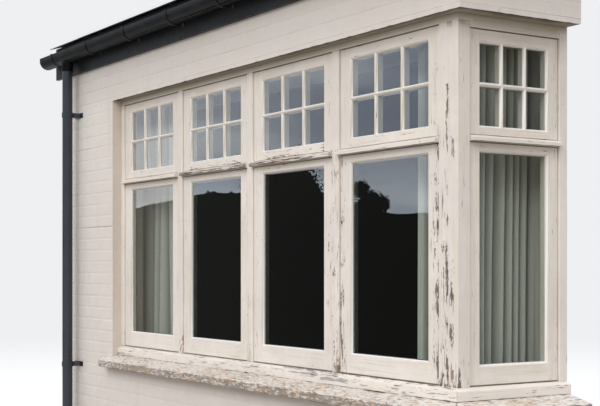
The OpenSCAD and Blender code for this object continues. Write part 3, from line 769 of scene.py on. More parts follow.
def joined_copy(node):
    """A copy of a CAD node with its loose triangles joined into flat faces"""
    bm = bmesh.new()
    bm.from_mesh(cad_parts[node].data)
    bmesh.ops.remove_doubles(bm, verts=bm.verts[:], dist=1e-5)
    bmesh.ops.dissolve_limit(bm, angle_limit=math.radians(0.5), verts=bm.verts[:],
                             edges=bm.edges[:])
    return bm


def cut(bm, place, normal, clear_outer=False):
    """Cuts a mesh along a plane"""
    return bmesh.ops.bisect_plane(bm, geom=bm.verts[:] + bm.edges[:] + bm.faces[:], dist=1e-6,
                                  plane_co=place, plane_no=normal, clear_outer=clear_outer)


def unit(axis):
    """The vector of length 1 along X (0), Y (1) or Z (2)"""
    vector = Vector((0, 0, 0))
    vector[axis] = 1
    return vector


def round_edges(bm, offset, segments=2, angle=30):
    """Rounds the edges that turn by more than an angle in degrees"""
    edges = [e for e in bm.edges
             if len(e.link_faces) == 2 and e.calc_face_angle(0) > math.radians(angle)]
    bmesh.ops.bevel(bm, geom=edges, offset=offset, segments=segments, affect="EDGES", profile=0.5,
                    material=-1, clamp_overlap=True)


def slice_across(bm, axis, step):
    """Cuts a piece across its long axis, so that it can be worn along its length"""
    places = [v.co[axis] for v in bm.verts]
    start_at, end_at = min(places), max(places)
    count = max(1, round((end_at - start_at) / step))
    for i in range(1, count):
        cut(bm, unit(axis) * (start_at + (end_at - start_at) * i / count), unit(axis))


def wear_away(bm, depth, scale, where=lambda co: 1.0):
    """Presses the surface in here and there, never out"""
    bm.normal_update()
    moves = [(v, v.normal * depth * where(v.co) * max(0.0, noise.noise(v.co * scale)))
             for v in bm.verts]
    for vert, move in moves:
        vert.co -= move


def brick(bm, start_at, end_at):
    """A block between two of its corners"""
    size = [abs(b - a) for a, b in zip(start_at, end_at)]
    middle = [(a + b) / 2 for a, b in zip(start_at, end_at)]
    matrix = Matrix.Translation(middle) @ Matrix.Diagonal((*size, 1))
    return bmesh.ops.create_cube(bm, size=1, matrix=matrix)["verts"]


def run(bm, outline, axis, start_at, end_at):
    """An outline of two coordinates, extruded along an axis from one place to another"""
    def point(a, b):
        values = [a, b]
        values.insert(axis, start_at)
        return bm.verts.new(values)
    face = bm.faces.new([point(a, b) for a, b in outline])
    made = bmesh.ops.extrude_face_region(bm, geom=[face])["geom"]
    bmesh.ops.translate(bm, vec=unit(axis) * (end_at - start_at),
                        verts=[g for g in made if isinstance(g, bmesh.types.BMVert)])


# Brickwork
# How deep a brick reaches into its wall, and how far the pier's bricks stop short of the reveal
BRICK_DEPTH = 0.008
REVEAL_GAP = 0.0005
BRICK_SEED = 11


def brick_run(start_at, end_at, header_first, header_last, sizes):
    """Ends of one course's bricks, laid from both ends, with the cut bricks in the middle"""
    def turns(header):
        if header:
            yield from (sizes.header, sizes.closer)
        while True:
            yield from (sizes.stretcher, sizes.header)
    first, last = turns(header_first), turns(header_last)
    left, right, row = start_at, end_at, []
    while right - left > 2 * sizes.stretcher + 2 * sizes.joint:
        a = next(first)
        row.append((left, left + a))
        left += a + sizes.joint
        b = next(last)
        row.append((right - b, right))
        right -= b + sizes.joint
    gap = right - left + sizes.joint
    count = max(1, round(gap / (0.8 * sizes.stretcher)))
    row += [(left + i * gap / count, left + (i + 1) * gap / count - sizes.joint)
            for i in range(count)]
    return sorted(row)


def lay_courses(bm, first, last, span, place, header_starts, quoins=(False, False)):
    """Lays courses first to last along a span. place turns (along, depth, up) into a corner."""
    sizes = settings("bricks")
    rng = random.Random(BRICK_SEED + first)
    for k in range(first, last):
        odd = bool(k % 2) != header_starts
        row = brick_run(*span, odd, odd, sizes)
        row = row[quoins[0]:len(row) - quoins[1]]
        fill = (sizes.joint - sizes.upright) / 2
        for a, b in row:
            a, b = max(a - fill, span[0]), min(b + fill, span[1])
            shake = [rng.uniform(-1, 1) * sizes.uneven for _ in range(4)]
            z0 = k * sizes.course + sizes.joint / 2
            z1 = z0 + sizes.course - sizes.joint
            a, b = max(a + shake[0], span[0]), min(b + shake[1], span[1])
            brick(bm, place(a, BRICK_DEPTH, z0 + shake[2] / 2),
                  place(b, -sizes.proud - shake[3] / 2, z1 + shake[2] / 2))


def lay_quoins(bm, first, last, corner, inwards):
    """Whole bricks at a corner, whose faces show on both walls"""
    sizes = settings("bricks")
    rng = random.Random(BRICK_SEED * 2 + first)
    for k in range(first, last):
        along, deep = (sizes.header, sizes.stretcher) if k % 2 else (sizes.stretcher, sizes.header)
        out = sizes.proud + rng.uniform(-0.5, 0.5) * sizes.uneven
        z0 = k * sizes.course + sizes.joint / 2
        z1 = z0 + sizes.course - sizes.joint
        brick(bm, (corner[0] - inwards * out, corner[1] - out, z0),
              (corner[0] + inwards * along, corner[1] + deep, z1))


def clip_to_roof(bm, slope_top):
    """Cuts bricks off at the slope under the roof boards"""
    pitch = settings("roof").pitch
    made = cut(bm, (0, 0, slope_top), (0, -math.sin(pitch), math.cos(pitch)), True)["geom_cut"]
    rim = [e for e in made if isinstance(e, bmesh.types.BMEdge)]
    bmesh.ops.holes_fill(bm, edges=rim)


def finish_bricks(name, bm):
    """Rounds laid bricks and makes them a piece"""
    bmesh.ops.recalc_face_normals(bm, faces=bm.faces[:])
    round_edges(bm, settings("bricks").arris, angle=60)
    piece(name, bm, ["painted_brick"])


def on_front_wall(along, depth, up):
    """A place on the front wall; depth runs inwards"""
    return along, FRONT_Y + depth, up


def on_left_wall(along, depth, up):
    """The same on the left side wall"""
    return LEFT_X + depth, along, up


def on_right_wall(along, depth, up):
    """The same on the right side wall"""
    return RIGHT_X - depth, along, up


WALLS = ["front_wall", "side_wall", "left_pier", "left_side_wall", "brick_band_front",
         "brick_band_side"]
WALL_FINISHES = ["painted_mortar", "wall_plaster", "reveal_paint", "bare_brick"]
JOINTS, PLASTER, REVEAL, CUT_OFF = range(4)


def wall_finish(node, face):
    """Number of the finish of one face of a wall"""
    centre, normal = face.calc_center_median(), face.normal
    if normal.y > 0.5:
        return CUT_OFF if centre.y > -0.001 else PLASTER
    if node == "left_pier" and normal.x > 0.5:
        return REVEAL
    inner = 1 if node in ("left_side_wall", "left_pier") else -1
    return PLASTER if normal.x * inner > 0.5 else JOINTS


def dress_walls():
    """The walls behind the bricks: painted joints outside, plaster inside"""
    for node in WALLS:
        bm = joined_copy(node)
        bm.normal_update()
        for face in bm.faces:
            face.material_index = wall_finish(node, face)
        piece(f"jointed_{node}", bm, WALL_FINISHES, [node])


def lay_brickwork():
    """The bricks of every wall, from the ground up, over the walls they face"""
    sizes = settings("bricks")
    sill = round(SILL_Z / sizes.course)
    band = round(BAND_Z / sizes.course)
    top = round(BAND_TOP / sizes.course)
    gable = math.ceil(GABLE_TOP / sizes.course)
    front, left, right = on_front_wall, on_left_wall, on_right_wall
    both = (True, True)

    bm = bmesh.new()
    lay_courses(bm, 0, sill, (LEFT_X, RIGHT_X), front, False, both)
    lay_quoins(bm, 0, sill, (RIGHT_X, FRONT_Y), -1)
    finish_bricks("low_front_bricks", bm)

    bm = bmesh.new()
    lay_courses(bm, sill, band, (LEFT_X, RECESS_X - REVEAL_GAP), front, False, (True, False))
    finish_bricks("pier_bricks", bm)

    bm = bmesh.new()
    lay_courses(bm, band, top, (LEFT_X, RIGHT_X), front, False, both)
    lay_quoins(bm, band, top, (RIGHT_X, FRONT_Y), -1)
    finish_bricks("band_bricks", bm)

    bm = bmesh.new()
    lay_quoins(bm, 0, top, (LEFT_X, FRONT_Y), 1)
    lay_courses(bm, 0, gable, (FRONT_Y, 0.0), left, True, (True, False))
    clip_to_roof(bm, GABLE_TOP)
    finish_bricks("left_side_bricks", bm)

    bm = bmesh.new()
    lay_courses(bm, 0, sill, (FRONT_Y, 0.0), right, True, (True, False))
    lay_courses(bm, band, gable, (FRONT_Y, 0.0), right, True, (True, False))
    clip_to_roof(bm, GABLE_TOP)
    finish_bricks("right_side_bricks", bm)

    dress_walls()


# Lintel
# How far the wear of the lower outer edge reaches, and how far its worst part does at the corner
LINTEL_EDGE = 0.004
LINTEL_CORNER = 0.10
# Depth and scale of that wear
LINTEL_WEAR = (0.007, 26.0)
# Length of the slices of the lintel and of the sill
MASONRY_STEP = 0.015


def edge_of_lintel(co):
    """How worn the lintel is: only along its lower outer edge, and most at its corner"""
    depth = min(co.y - FRONT_Y, RIGHT_X - co.x)
    if co.z > LINTEL_Z + LINTEL_EDGE or depth > LINTEL_EDGE:
        return 0.0
    corner = math.hypot(co.y - FRONT_Y, RIGHT_X - co.x)
    return 1.3 + 3.0 * max(0.0, 1 - corner / LINTEL_CORNER)


def dress_lintel():
    """The steel plate under the band, painted on its edge, with painted shade and dirt beneath"""
    for node, axis in (("lintel_front", 0), ("lintel_side", 1)):
        bm = joined_copy(node)
        slice_across(bm, axis, MASONRY_STEP)
        cut(bm, (0, FRAME_Y, 0), unit(1))
        cut(bm, (FRAME_X, 0, 0), unit(0))
        bm.normal_update()
        # How far in from the outer edge each vertex lies, which sets the soffit's painted shade
        layer = bm.verts.layers.float.new("inward")
        for vert in bm.verts:
            depth = min(vert.co.y - FRONT_Y, RIGHT_X - vert.co.x)
            vert[layer] = min(1.0, max(0.0, depth / (FRAME_Y - FRONT_Y)))
        wear_away(bm, *LINTEL_WEAR, edge_of_lintel)
        bm.normal_update()
        for face in bm.faces:
            face.material_index = 1 if face.normal.z < -0.3 else 0
        piece(f"worn_{node}", bm, ["painted_brick", "soffit_paint"], [node])


# Stone sill
SILL_ARRIS = 0.005
# Depth and scale of the hollows and of the chips in its faces
SILL_WEAR = [(0.006, 16.0), (0.005, 55.0)]


def dress_stone_sill():
    """The stone sill, chipped and hollowed, with its top marked for the paint"""
    for node, axis in (("stone_sill_front", 0), ("stone_sill_side", 1)):
        bm = joined_copy(node)
        round_edges(bm, SILL_ARRIS)
        slice_across(bm, axis, MASONRY_STEP)
        start_at, end_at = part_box(node)
        for share in (0.25, 0.5, 0.75):
            for across in (2, 1 - axis):
                cut(bm, start_at.lerp(end_at, share), unit(across))
        for depth, scale in SILL_WEAR:
            wear_away(bm, depth, scale)
        bm.normal_update()
        layer = bm.verts.layers.float.new("top")
        for vert in bm.verts:
            vert[layer] = max(0.0, vert.normal.z)
        piece(f"worn_{node}", bm, [("sill_stone_x", "sill_stone_y")[axis]], [node])


# Timber frame
# Height over the cill in which the feet of the frame's members have failed most
FOOT = 0.16
# Depths behind the frame's face where the sashes are seen through the glass, in painted shade
BEHIND_GLASS = (0.0262, 0.0538)
UPRIGHTS = ["left_jamb", "mullion_1", "mullion_2", "mullion_3", "corner_post", "house_jamb"]
FRAME_MEMBERS = {
    "timber_cill_front": 0, "timber_cill_side": 1, "frame_head_front": 0, "frame_head_side": 1,
    "front_transoms": 0, "side_transom": 1, **{node: 2 for node in UPRIGHTS},
}
WOOD = ["painted_wood_x", "painted_wood_y", "painted_wood_z"]
WEATHERED = {"timber_cill_front": "weathered_wood_x", "timber_cill_side": "weathered_wood_y",
             "front_transoms": "weathered_wood_x", "side_transom": "weathered_wood_y"}
# The front lights are numbered from 0 to 3, and this is the side light
SIDE_LIGHT = 4
# How far the paint has failed on the drips and fanlight rails of each light, the side light last
DRIP_WEAR = [0.15, 1.50, 1.35, 0.45, 0.25]
# The same on the outer edges of each light's left and right stiles
STILE_WEAR = [(0.20, 0.15), (0.15, 0.25), (0.25, 0.60), (0.90, 1.10), (0.15, 0.10)]
# The same on the jamb and the three mullions
UPRIGHT_WEAR = [0.15, 0.20, 0.25, 0.60]
# Bands of flaking up the corner post: place and half width across its front, lowest and highest
# point, strength
POST_BANDS = [(0.060, 0.019, 1.00, 2.33, 0.84), (0.098, 0.016, 1.99, 2.10, 1.35),
              (0.034, 0.016, 1.00, 1.86, 0.80), (0.092, 0.022, 1.00, 1.60, 0.80)]
# What a sharp edge adds to the wear, and how far in from a sash's side its stiles wear
EDGE_WEAR = 0.08
STILE_REACH = 0.086
# Heights over a casement's lower edge at which its faces are cut, and the top of its painted shade
GAP_CUTS = (0.0035, 0.0045)
GAP_DARK = 0.0068
# Length of the slices of the frame's members and of the sashes', width of the post's, and how far
# in from their long edges the members are cut
FRAME_STEP = 0.03
SASH_STEP = 0.04
POST_STEP = 0.007
EDGE_INSET = 0.012
# Depth and scale of the dents in the frame
FRAME_DENTS = (0.0012, 35.0)


def light_at(co):
    """Number of the light that a place belongs to, the side light last"""
    if FRAME_X - co.x < co.y - FRAME_Y and co.x > FRAME_X - 0.12:
        return SIDE_LIGHT
    return min(3, max(0, int((co.x - FIRST_LIGHT + 0.04) / LIGHT_STEP)))


def in_clusters(power, place, up):
    """Wear that comes and goes up a line"""
    return power * (1 + 1.1 * noise.noise(Vector((place * 40, 3, up * 15))))


def post_wear(co):
    """Flaking of the corner post's front, in upright bands"""
    across = co.x - POST_X
    return max(in_clusters(power, place, co.z) * (low_z < co.z < high_z)
               * min(1.0, 1.6 * max(0.0, 1 - abs(across - place) / half))
               for place, half, low_z, high_z, power in POST_BANDS)


def paint_wear(co):
    """How far the paint of the frame has failed: most at the feet and on the drips"""
    depth = min(co.y - FRAME_Y, FRAME_X - co.x)
    light = light_at(co)
    if co.z < CASEMENT_Z:
        return (0.30 if light == SIDE_LIGHT else 0.72) if depth < 0.02 else 0.2
    if depth < -0.004:
        return DRIP_WEAR[light]
    foot = max(0.0, 1 - (co.z - CASEMENT_Z) / FOOT)
    if co.x > POST_X and co.y < FRAME_Y + 0.02:
        return max(post_wear(co), 0.10 + 1.0 * foot)
    if light == SIDE_LIGHT:
        return 0.12 + 0.1 * foot
    nearest = min(3, max(0, round((co.x - FIRST_LIGHT) / LIGHT_STEP)))
    return UPRIGHT_WEAR[nearest] * (1.0 if co.z < FAN_Z else 0.3) + 0.6 * foot


def stile_wear(co):
    """Stiles fail along their outer edges, mostly on the casements"""
    light = light_at(co)
    across = co.x - FIRST_LIGHT - light * LIGHT_STEP
    if light == SIDE_LIGHT:
        return STILE_WEAR[SIDE_LIGHT][0]
    right = across > SASH_W / 2
    outer = max(0.0, 1 - min(across, SASH_W - across) / STILE_REACH)
    wear = in_clusters(STILE_WEAR[light][right], light + 0.5 * right, co.z)
    return wear * (outer if co.z < FAN_Z else 0.35 * outer)


def rail_wear(co):
    """Fanlight rails fail where they meet the drips"""
    near = max(0.0, 1 - abs(co.z - FAN_Z) / 0.055)
    return 0.05 + DRIP_WEAR[light_at(co)] * 0.6 * near


def mark_wear(bm, matrix=Matrix.Identity(4), wear=paint_wear):
    """Writes each vertex's wear and painted shade: under the head, on downward faces, on
    right-facing bevels, at casement feet, behind the glass. Under 0 is a painted highlight."""
    layer, grime = bm.verts.layers.float.new("wear"), bm.verts.layers.float.new("grime")
    on_sash = wear is not paint_wear
    bm.normal_update()
    for vert in bm.verts:
        place = matrix @ vert.co
        sharp = any(len(e.link_faces) == 2 and e.calc_face_angle(0) > 0.25
                    for e in vert.link_edges)
        vert[layer] = wear(place) + (EDGE_WEAR if sharp else 0.0)
        # Painted shade of the lintel's overhang: a little up the fanlights, most on the head; the
        # side light takes a little everywhere
        shaded = (0.12 * min(1.0, max(0.0, (place.z - FAN_Z) / 0.3))
                     + 0.63 * max(0.0, (place.z - HEAD_Z) / (LINTEL_Z - HEAD_Z)))
        # Painted shade on faces that look down
        under = 1.2 * max(0.0, -vert.normal.z - 0.3)
        depth = min(place.y - FRAME_Y, FRAME_X - place.x)
        # Painted shade on the sashes behind the glass: near black on the casements, olive on the
        # fanlights, none in the side light
        shade_behind_glass = on_sash and BEHIND_GLASS[0] < depth < BEHIND_GLASS[1]
        beside = light_at(place) == SIDE_LIGHT
        behind = 0.0 if beside else (0.6 if place.z > FAN_Z else 2.0) * shade_behind_glass
        # Painted shade on the putty bevels that face right, before the glass
        bevel = 0.25 * (on_sash and vert.normal.x > 0.3 and 0.012 < depth <= BEHIND_GLASS[0])
        # Painted shade along the gap at a casement's foot
        foot = float(on_sash and 0 < place.z - CASEMENT_Z < GAP_DARK)
        # Painted shade on faces deeper than the glass, inside the bay
        inside = 0.35 if depth > BEHIND_GLASS[0] and not beside else 0.0
        vert[grime] = max(shaded + 0.05 * beside, under, behind, foot, inside, bevel)
        # Painted highlight on the upward faces of rails and putty before the glass
        if wear is rail_wear and vert.normal.z > 0.25 and depth < BEHIND_GLASS[0]:
            vert[grime] = -1.0


def slice_near_edges(bm, axis, inset):
    """Cuts a long piece beside its long edges, so that the edges can wear more than the face"""
    for side in range(3):
        if side == axis:
            continue
        places = [v.co[side] for v in bm.verts]
        for at in (min(places) + inset, max(places) - inset):
            cut(bm, unit(side) * at, unit(side))


def build_frame():
    """The frame's members, sliced so that their paint can fail in places"""
    arris = settings("joinery").arris
    for node, axis in FRAME_MEMBERS.items():
        bm = joined_copy(node)
        round_edges(bm, arris)
        slice_across(bm, axis, FRAME_STEP)
        slice_near_edges(bm, axis, EDGE_INSET)
        if node == "corner_post":
            slice_across(bm, 0, POST_STEP)
        wear_away(bm, *FRAME_DENTS)
        mark_wear(bm)
        piece(f"painted_{node}", bm, [WEATHERED.get(node, WOOD[axis])], [node])


# Sashes
# How far the rails and bars lie behind the stiles' faces
RECESS = 0.0003


class SashLayout:
    """One sash in face coordinates, read from its CAD node"""

    def __init__(self, node, to_frame, stile, bottom, top, columns, rows):
        sizes = settings("joinery")
        corners = [to_frame.inverted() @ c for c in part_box(node)]
        self.left, self.right = sorted(c.x for c in corners)
        self.face, self.back = sorted(c.y for c in corners)
        self.bottom, self.top = sorted(c.z for c in corners)
        self.sight = (self.left + stile, self.bottom + bottom, self.right - stile, self.top - top)
        self.rebate = self.face + sizes.putty_depth + sizes.glass
        self.bar, self.putty = sizes.bar, sizes.putty_width
        self.columns, self.rows = columns, rows

    def lines(self, axis):
        """Sight lines of the panes along the face (0) or up (1)"""
        count = self.rows if axis else self.columns
        start_at, end_at = self.sight[axis], self.sight[axis + 2]
        step = (end_at - start_at + self.bar) / count
        return [(start_at + i * step, start_at + (i + 1) * step - self.bar) for i in range(count)]


def edge_member(sash, outer, sight):
    """Section of a stile or rail from its outer edge to the sight line: (across, depth)"""
    lip = sight - math.copysign(sash.putty, sight - outer)
    return [(outer, sash.face), (lip, sash.face), (lip, sash.rebate), (sight, sash.rebate),
            (sight, sash.back), (outer, sash.back)]


def bar_section(sash, middle, recess):
    """Section of a glazing bar"""
    nose, wide = sash.bar / 2 - sash.putty, sash.bar / 2
    face, back = sash.face + 0.0005 + recess, sash.back - recess
    right = [(nose, face), (nose, sash.rebate), (wide, sash.rebate), (wide, back)]
    return ([(middle + a, d) for a, d in right]
            + [(middle - a, d) for a, d in reversed(right)])


def build_members(sash, upright):
    """The uprights or the rails of a sash, with its bars"""
    bm = bmesh.new()
    if upright:
        for outer, sight in ((sash.left, sash.sight[0]), (sash.right, sash.sight[2])):
            run(bm, edge_member(sash, outer, sight), 2, sash.bottom, sash.top)
        columns = sash.lines(0)
        for (_, end_at), (next_start, _) in zip(columns, columns[1:]):
            run(bm, bar_section(sash, (end_at + next_start) / 2, 0), 2,
                sash.sight[1] - sash.putty, sash.sight[3] + sash.putty)
        return bm
    ends = (sash.sight[0] - sash.putty, sash.sight[2] + sash.putty)
    for outer, sight in ((sash.bottom + RECESS, sash.sight[1]), (sash.top - RECESS, sash.sight[3])):
        outline = [(min(max(d, sash.face + RECESS), sash.back - RECESS), z)
                   for z, d in edge_member(sash, outer, sight)]
        run(bm, outline, 0, *ends)
    rows = sash.lines(1)
    for (_, end_at), (next_start, _) in zip(rows, rows[1:]):
        section = bar_section(sash, (end_at + next_start) / 2, RECESS)
        run(bm, [(d, z) for z, d in section], 0, *ends)
    return bm


def putty_ring(bm, sash, columns, rows):
    """A mitred bevel of putty round one pane"""
    p, glass = sash.putty, sash.rebate - settings("joinery").glass
    (u0, u1), (z0, z1) = columns, rows
    loops = [((u0, z0, u1, z1), glass - 0.0001),
             ((u0 - p, z0 - p, u1 + p, z1 + p), sash.face + 0.0008),
             ((u0 - p, z0 - p, u1 + p, z1 + p), glass - 0.0001)]
    rings = []
    for (a, b, c, d), depth in loops:
        corners = [bm.verts.new((u, depth, z)) for u, z in ((a, b), (c, b), (c, d), (a, d))]
        rings.append([bm.edges.new((corners[i], corners[(i + 1) % 4])) for i in range(4)])
    for i in range(3):
        bmesh.ops.bridge_loops(bm, edges=rings[i] + rings[(i + 1) % 3])


def build_sash(node, to_frame, stile, bottom, top, columns=1, rows=1):
    """One sash in three pieces: its uprights, its rails and its putty"""
    sizes = settings("joinery")
    sash = SashLayout(node, to_frame, stile, bottom, top, columns, rows)
    across = 0 if to_frame is ON_FRONT else 1
    for upright, label in ((True, "stiles"), (False, "rails")):
        bm = build_members(sash, upright)
        bmesh.ops.recalc_face_normals(bm, faces=bm.faces[:])
        round_edges(bm, sizes.arris * 0.7)
        slice_across(bm, 2 if upright else 0, SASH_STEP)
        for rise in GAP_CUTS:
            cut(bm, (0, 0, sash.bottom + rise), unit(2))
        mark_wear(bm, to_frame, stile_wear if upright else rail_wear)
        bm.transform(to_frame)
        piece(f"{node}_{label}", bm, [WOOD[2 if upright else across]],
              [node] if upright else [])
    bm = bmesh.new()
    for columns_at in sash.lines(0):
        for rows_at in sash.lines(1):
            putty_ring(bm, sash, columns_at, rows_at)
    bmesh.ops.recalc_face_normals(bm, faces=bm.faces[:])
    mark_wear(bm, to_frame, rail_wear)
    bm.transform(to_frame)
    piece(f"{node}_putty", bm, ["painted_wood_z"])


def build_sashes():
    """A casement and a fanlight in each of the four front lights and in the side light"""
    sizes = settings("joinery")
    for i in range(4):
        build_sash(f"casement_{i + 1}", ON_FRONT, sizes.stile, sizes.bottom_rail, sizes.top_rail)
        build_sash(f"fanlight_{i + 1}", ON_FRONT, sizes.stile, sizes.fan_bottom_rail,
                   sizes.fan_top_rail, sizes.columns, sizes.rows)
    build_sash("side_casement", ON_SIDE, sizes.side_stile, sizes.side_bottom_rail, sizes.top_rail)
    build_sash("side_fanlight", ON_SIDE, sizes.side_stile, sizes.side_fan_bottom_rail,
               sizes.fan_top_rail, sizes.columns, sizes.rows)


def glaze():
    """The panes stay as they are packed, in clear glass"""
    for node in ("casement_glass", "fanlight_glass", "side_glass"):
        coat(node, "window_glass")


# Curtains
# Thickness of the cloth
CLOTH = 0.0012
# Height of the gathered heading, and of the part of it where the pleats tighten
HEADING = 0.07
TIGHTENING = 0.04
# How far a curtain's outer edge swings out at its foot
FLARE = 0.012
# Width of a column of the mesh, and the number of its rows
COLUMN = 0.0035
ROWS = 36


def gather(along, fall, pleat, seed):
    """How far the cloth stands off its middle line, from -1 to 1, with rounded folds towards 1"""
    phase = along / pleat + (1.2 - 6 * pleat) * noise.noise(Vector((along * 6, seed, fall * 0.6)))
    fold = math.sqrt(math.sin(math.pi * phase) ** 2 + 0.012)
    size = 0.80 + 0.35 * noise.noise(Vector((phase * 0.9, seed + 5, fall * 0.3)))
    return max(-1.0, min(1.0, (2 * fold ** 0.8 - 1) * size))


def hem_at(along, width, hems):
    """1 on the flat ends of a curtain, 0 past them; hems gives the width of each"""
    ends = [(along, hems[0]), (width - along, hems[1])]
    return max([min(1.0, max(0.0, 1.8 - 1.4 * at / hem)) for at, hem in ends if hem], default=0.0)


def hang_curtain(node, axis, pleat, spare=0.0, seed=0.0, hems=(0.0, 0.0), valley=None):
    """A gathered curtain whose pleats run along an axis of its CAD box, folded towards the glass.
    valley is the place and half width of a deep fold beside a hem."""
    start_at, end_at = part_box(node)
    across = 1 - axis
    first = start_at[axis] + spare
    width, drop = end_at[axis] - first, (end_at - start_at).z
    middle = (start_at + end_at)[across] / 2
    reach = ((end_at - start_at)[across] / 2 - 0.003) * (-1 if axis == 0 else 1)
    bm = bmesh.new()
    bmesh.ops.create_grid(bm, x_segments=round(width / COLUMN), y_segments=ROWS, size=0.5,
                          matrix=Matrix.Diagonal((width, drop, 1, 1)))
    flat = [(v.co.x + width / 2, v.co.y + drop / 2) for v in bm.verts]
    layer = bm.verts.layers.float.new("fold")
    for vert, (along, up) in zip(bm.verts, flat):
        fall = 1 - up / drop
        heading = min(1.0, max(0.0, (up - drop + HEADING) / TIGHTENING))
        wave = gather(along, fall, pleat, seed) * (0.70 + 0.28 * fall)
        hem = hem_at(along, width, hems)
        wave = wave * (1 - hem) + 0.95 * hem
        if valley:
            deep = min(1.0, 2 * max(0.0, 1 - abs(along - valley[0]) / valley[1]))
            wave = wave * (1 - deep) - 0.9 * deep
        # How much light the cloth keeps in its painted shade: low in the folds, a quarter lower on
        # the hems
        vert[layer] = (wave + 1) / 2 * (1 - 0.25 * hem)
        tight = gather(along, 0, pleat / 3, seed) * 0.25
        swing = FLARE * fall * fall * (1 - along / width) if hems[0] else 0.0
        place = [0, 0, start_at.z + up]
        place[axis] = first + along - swing
        place[across] = middle + reach * (wave * (1 - heading) + tight * heading)
        vert.co = place
    area = sum(f.calc_area() for f in bm.faces)
    uv = bm.loops.layers.uv.new("threads")
    bm.verts.index_update()
    for face in bm.faces:
        for loop in face.loops:
            along, up = flat[loop.vert.index]
            loop[uv].uv = (along * area / (drop * width), up)
    bmesh.ops.recalc_face_normals(bm, faces=bm.faces[:])
    made = piece(node + "_cloth", bm, ["curtain_cloth"], [node], math.radians(80))
    solid = made.modifiers.new("cloth", "SOLIDIFY")
    solid.thickness = CLOTH
    solid.offset = 0


def hang_curtains():
    """The three curtains on their track"""
    hang_curtain("curtain_left", 0, 0.110, 0.15, 1.0)
    hang_curtain("curtain_right_front", 0, 0.056, 0.0, 2.0, (0.024, 0.0), (0.050, 0.024))
    hang_curtain("curtain_right_side", 1, 0.050, 0.0, 3.0, (0.0, 0.022))
    coat("curtain_track", "track_metal")


# Inside
def dress(node, finishes, arris, sharp=FLAT, second=None):
    """A copy of a CAD node with rounded edges; second picks the faces with the second finish"""
    bm = joined_copy(node)
    if arris:
        round_edges(bm, arris)
    if second:
        bm.normal_update()
        for face in bm.faces:
            face.material_index = int(second(face.normal))
    return piece(f"finished_{node}", bm, finishes, [node], sharp)


def dress_inside():
    """Window boards, floor and ceiling"""
    dress("window_board_front", ["painted_wood_x"], 0.003)
    dress("window_board_side", ["painted_wood_y"], 0.003)
    dress("floor_slab", ["floor_concrete"], 0.004)
    dress("ceiling", ["ceiling_plaster"], 0.001)


# Roof
# Half the gap between two slates, their arris, and the most that a tail and a lift differ
SLATE_GAP = 0.0015
SLATE_ARRIS = 0.0015
TAIL_SHIFT = 0.003
LIFT_SHIFT = 0.0012
# Length of the slices of the lead, and depth and scale of its dents
LEAD_STEP = 0.03
LEAD_DENTS = (0.002, 9.0)
SLATE_SEED = 5


def lay_slates():
    """Lapped slates within the CAD slab, each with its tail on the course below"""
    sizes = settings("roof")
    start_at, end_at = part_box("roof_slates")
    pitch = sizes.pitch
    slope_length = (end_at.y - start_at.y) / math.cos(pitch)
    thick = (end_at.z - start_at.z - (end_at.y - start_at.y) * math.tan(pitch)) * math.cos(pitch)
    to_roof = Matrix.Translation((0, start_at.y, start_at.z)) @ Matrix.Rotation(pitch, 4, "X")
    rng = random.Random(SLATE_SEED)
    bm = bmesh.new()
    layer = bm.verts.layers.float.new("shade")
    courses = math.ceil(slope_length / sizes.gauge)
    gauge = slope_length / courses
    width = (end_at.x - start_at.x) / round((end_at.x - start_at.x) / sizes.slate_width)
    for k in range(courses):
        tail = k * gauge
        head = min(tail + 2 * gauge, slope_length)
        x = start_at.x - (width / 2 if k % 2 else 0)
        while x < end_at.x - 0.01:
            a, b = max(x, start_at.x) + SLATE_GAP, min(x + width, end_at.x) - SLATE_GAP
            lift = thick - sizes.slate - rng.uniform(0.0, LIFT_SHIFT)
            verts = brick(bm, (a, tail + rng.uniform(0, TAIL_SHIFT), 0), (b, head, sizes.slate))
            value = rng.random()
            for vert in verts:
                share = (vert.co.y - tail) / (2 * gauge)
                vert.co.z += lift * max(0.0, 1 - share)
                vert[layer] = value
            x += width
    round_edges(bm, SLATE_ARRIS, 1, angle=60)
    bm.transform(to_roof @ Matrix.Translation((0, thick * math.tan(pitch), 0)))
    cut(bm, (0, 0, 0), unit(1), True)
    piece("lapped_slates", bm, ["roof_slate"], ["roof_slates"])


def dress_flashing():
    """The lead, dented below the wall"""
    bm = joined_copy("lead_flashing")
    slice_across(bm, 0, LEAD_STEP)
    wear_away(bm, *LEAD_DENTS, lambda co: 1.0 if co.y < -0.02 else 0.0)
    piece("dressed_lead_flashing", bm, ["roof_lead"], ["lead_flashing"])


def build_roof():
    """Slates, lead, boards and the timbers under them"""
    lay_slates()
    dress_flashing()
    for node in ("verge_boards", "fascia"):
        dress(node, ["board_paint"], 0.002)
    for node, timber in (("wall_plate", "raw_wood_x"), ("ledger", "raw_wood_x"),
                         ("rafters", "raw_wood_y"), ("ceiling_joists", "raw_wood_y")):
        dress(node, [timber], 0.002)
    dress("roof_deck", ["raw_wood_x", "board_paint"], 0.001,
          second=lambda normal: normal.y < -0.5)


# Rainwater goods
def build_rainwater():
    """Gutter, downpipe and what holds them"""
    for node, plastic in (("gutter", "gutter_plastic"), ("gutter_brackets", "gutter_plastic"),
                          ("downpipe", "pipe_plastic"), ("pipe_clips", "pipe_plastic")):
        dress(node, [plastic], 0, ROUND)


# Stage
# Radius of the floor, and how far from the part it fades into the background
FLOOR_R = 60.0
FADE = (7.0, 22.0)
# The key light: its place, what it points at, and its width
KEY_AT, KEY_TARGET, KEY_SIZE = (15.8, -29.3, 24.6), (0.5, -0.5, 1.6), 22.8
# Share of the light that comes into the bay from the room
ROOM_LIGHT = 0.2
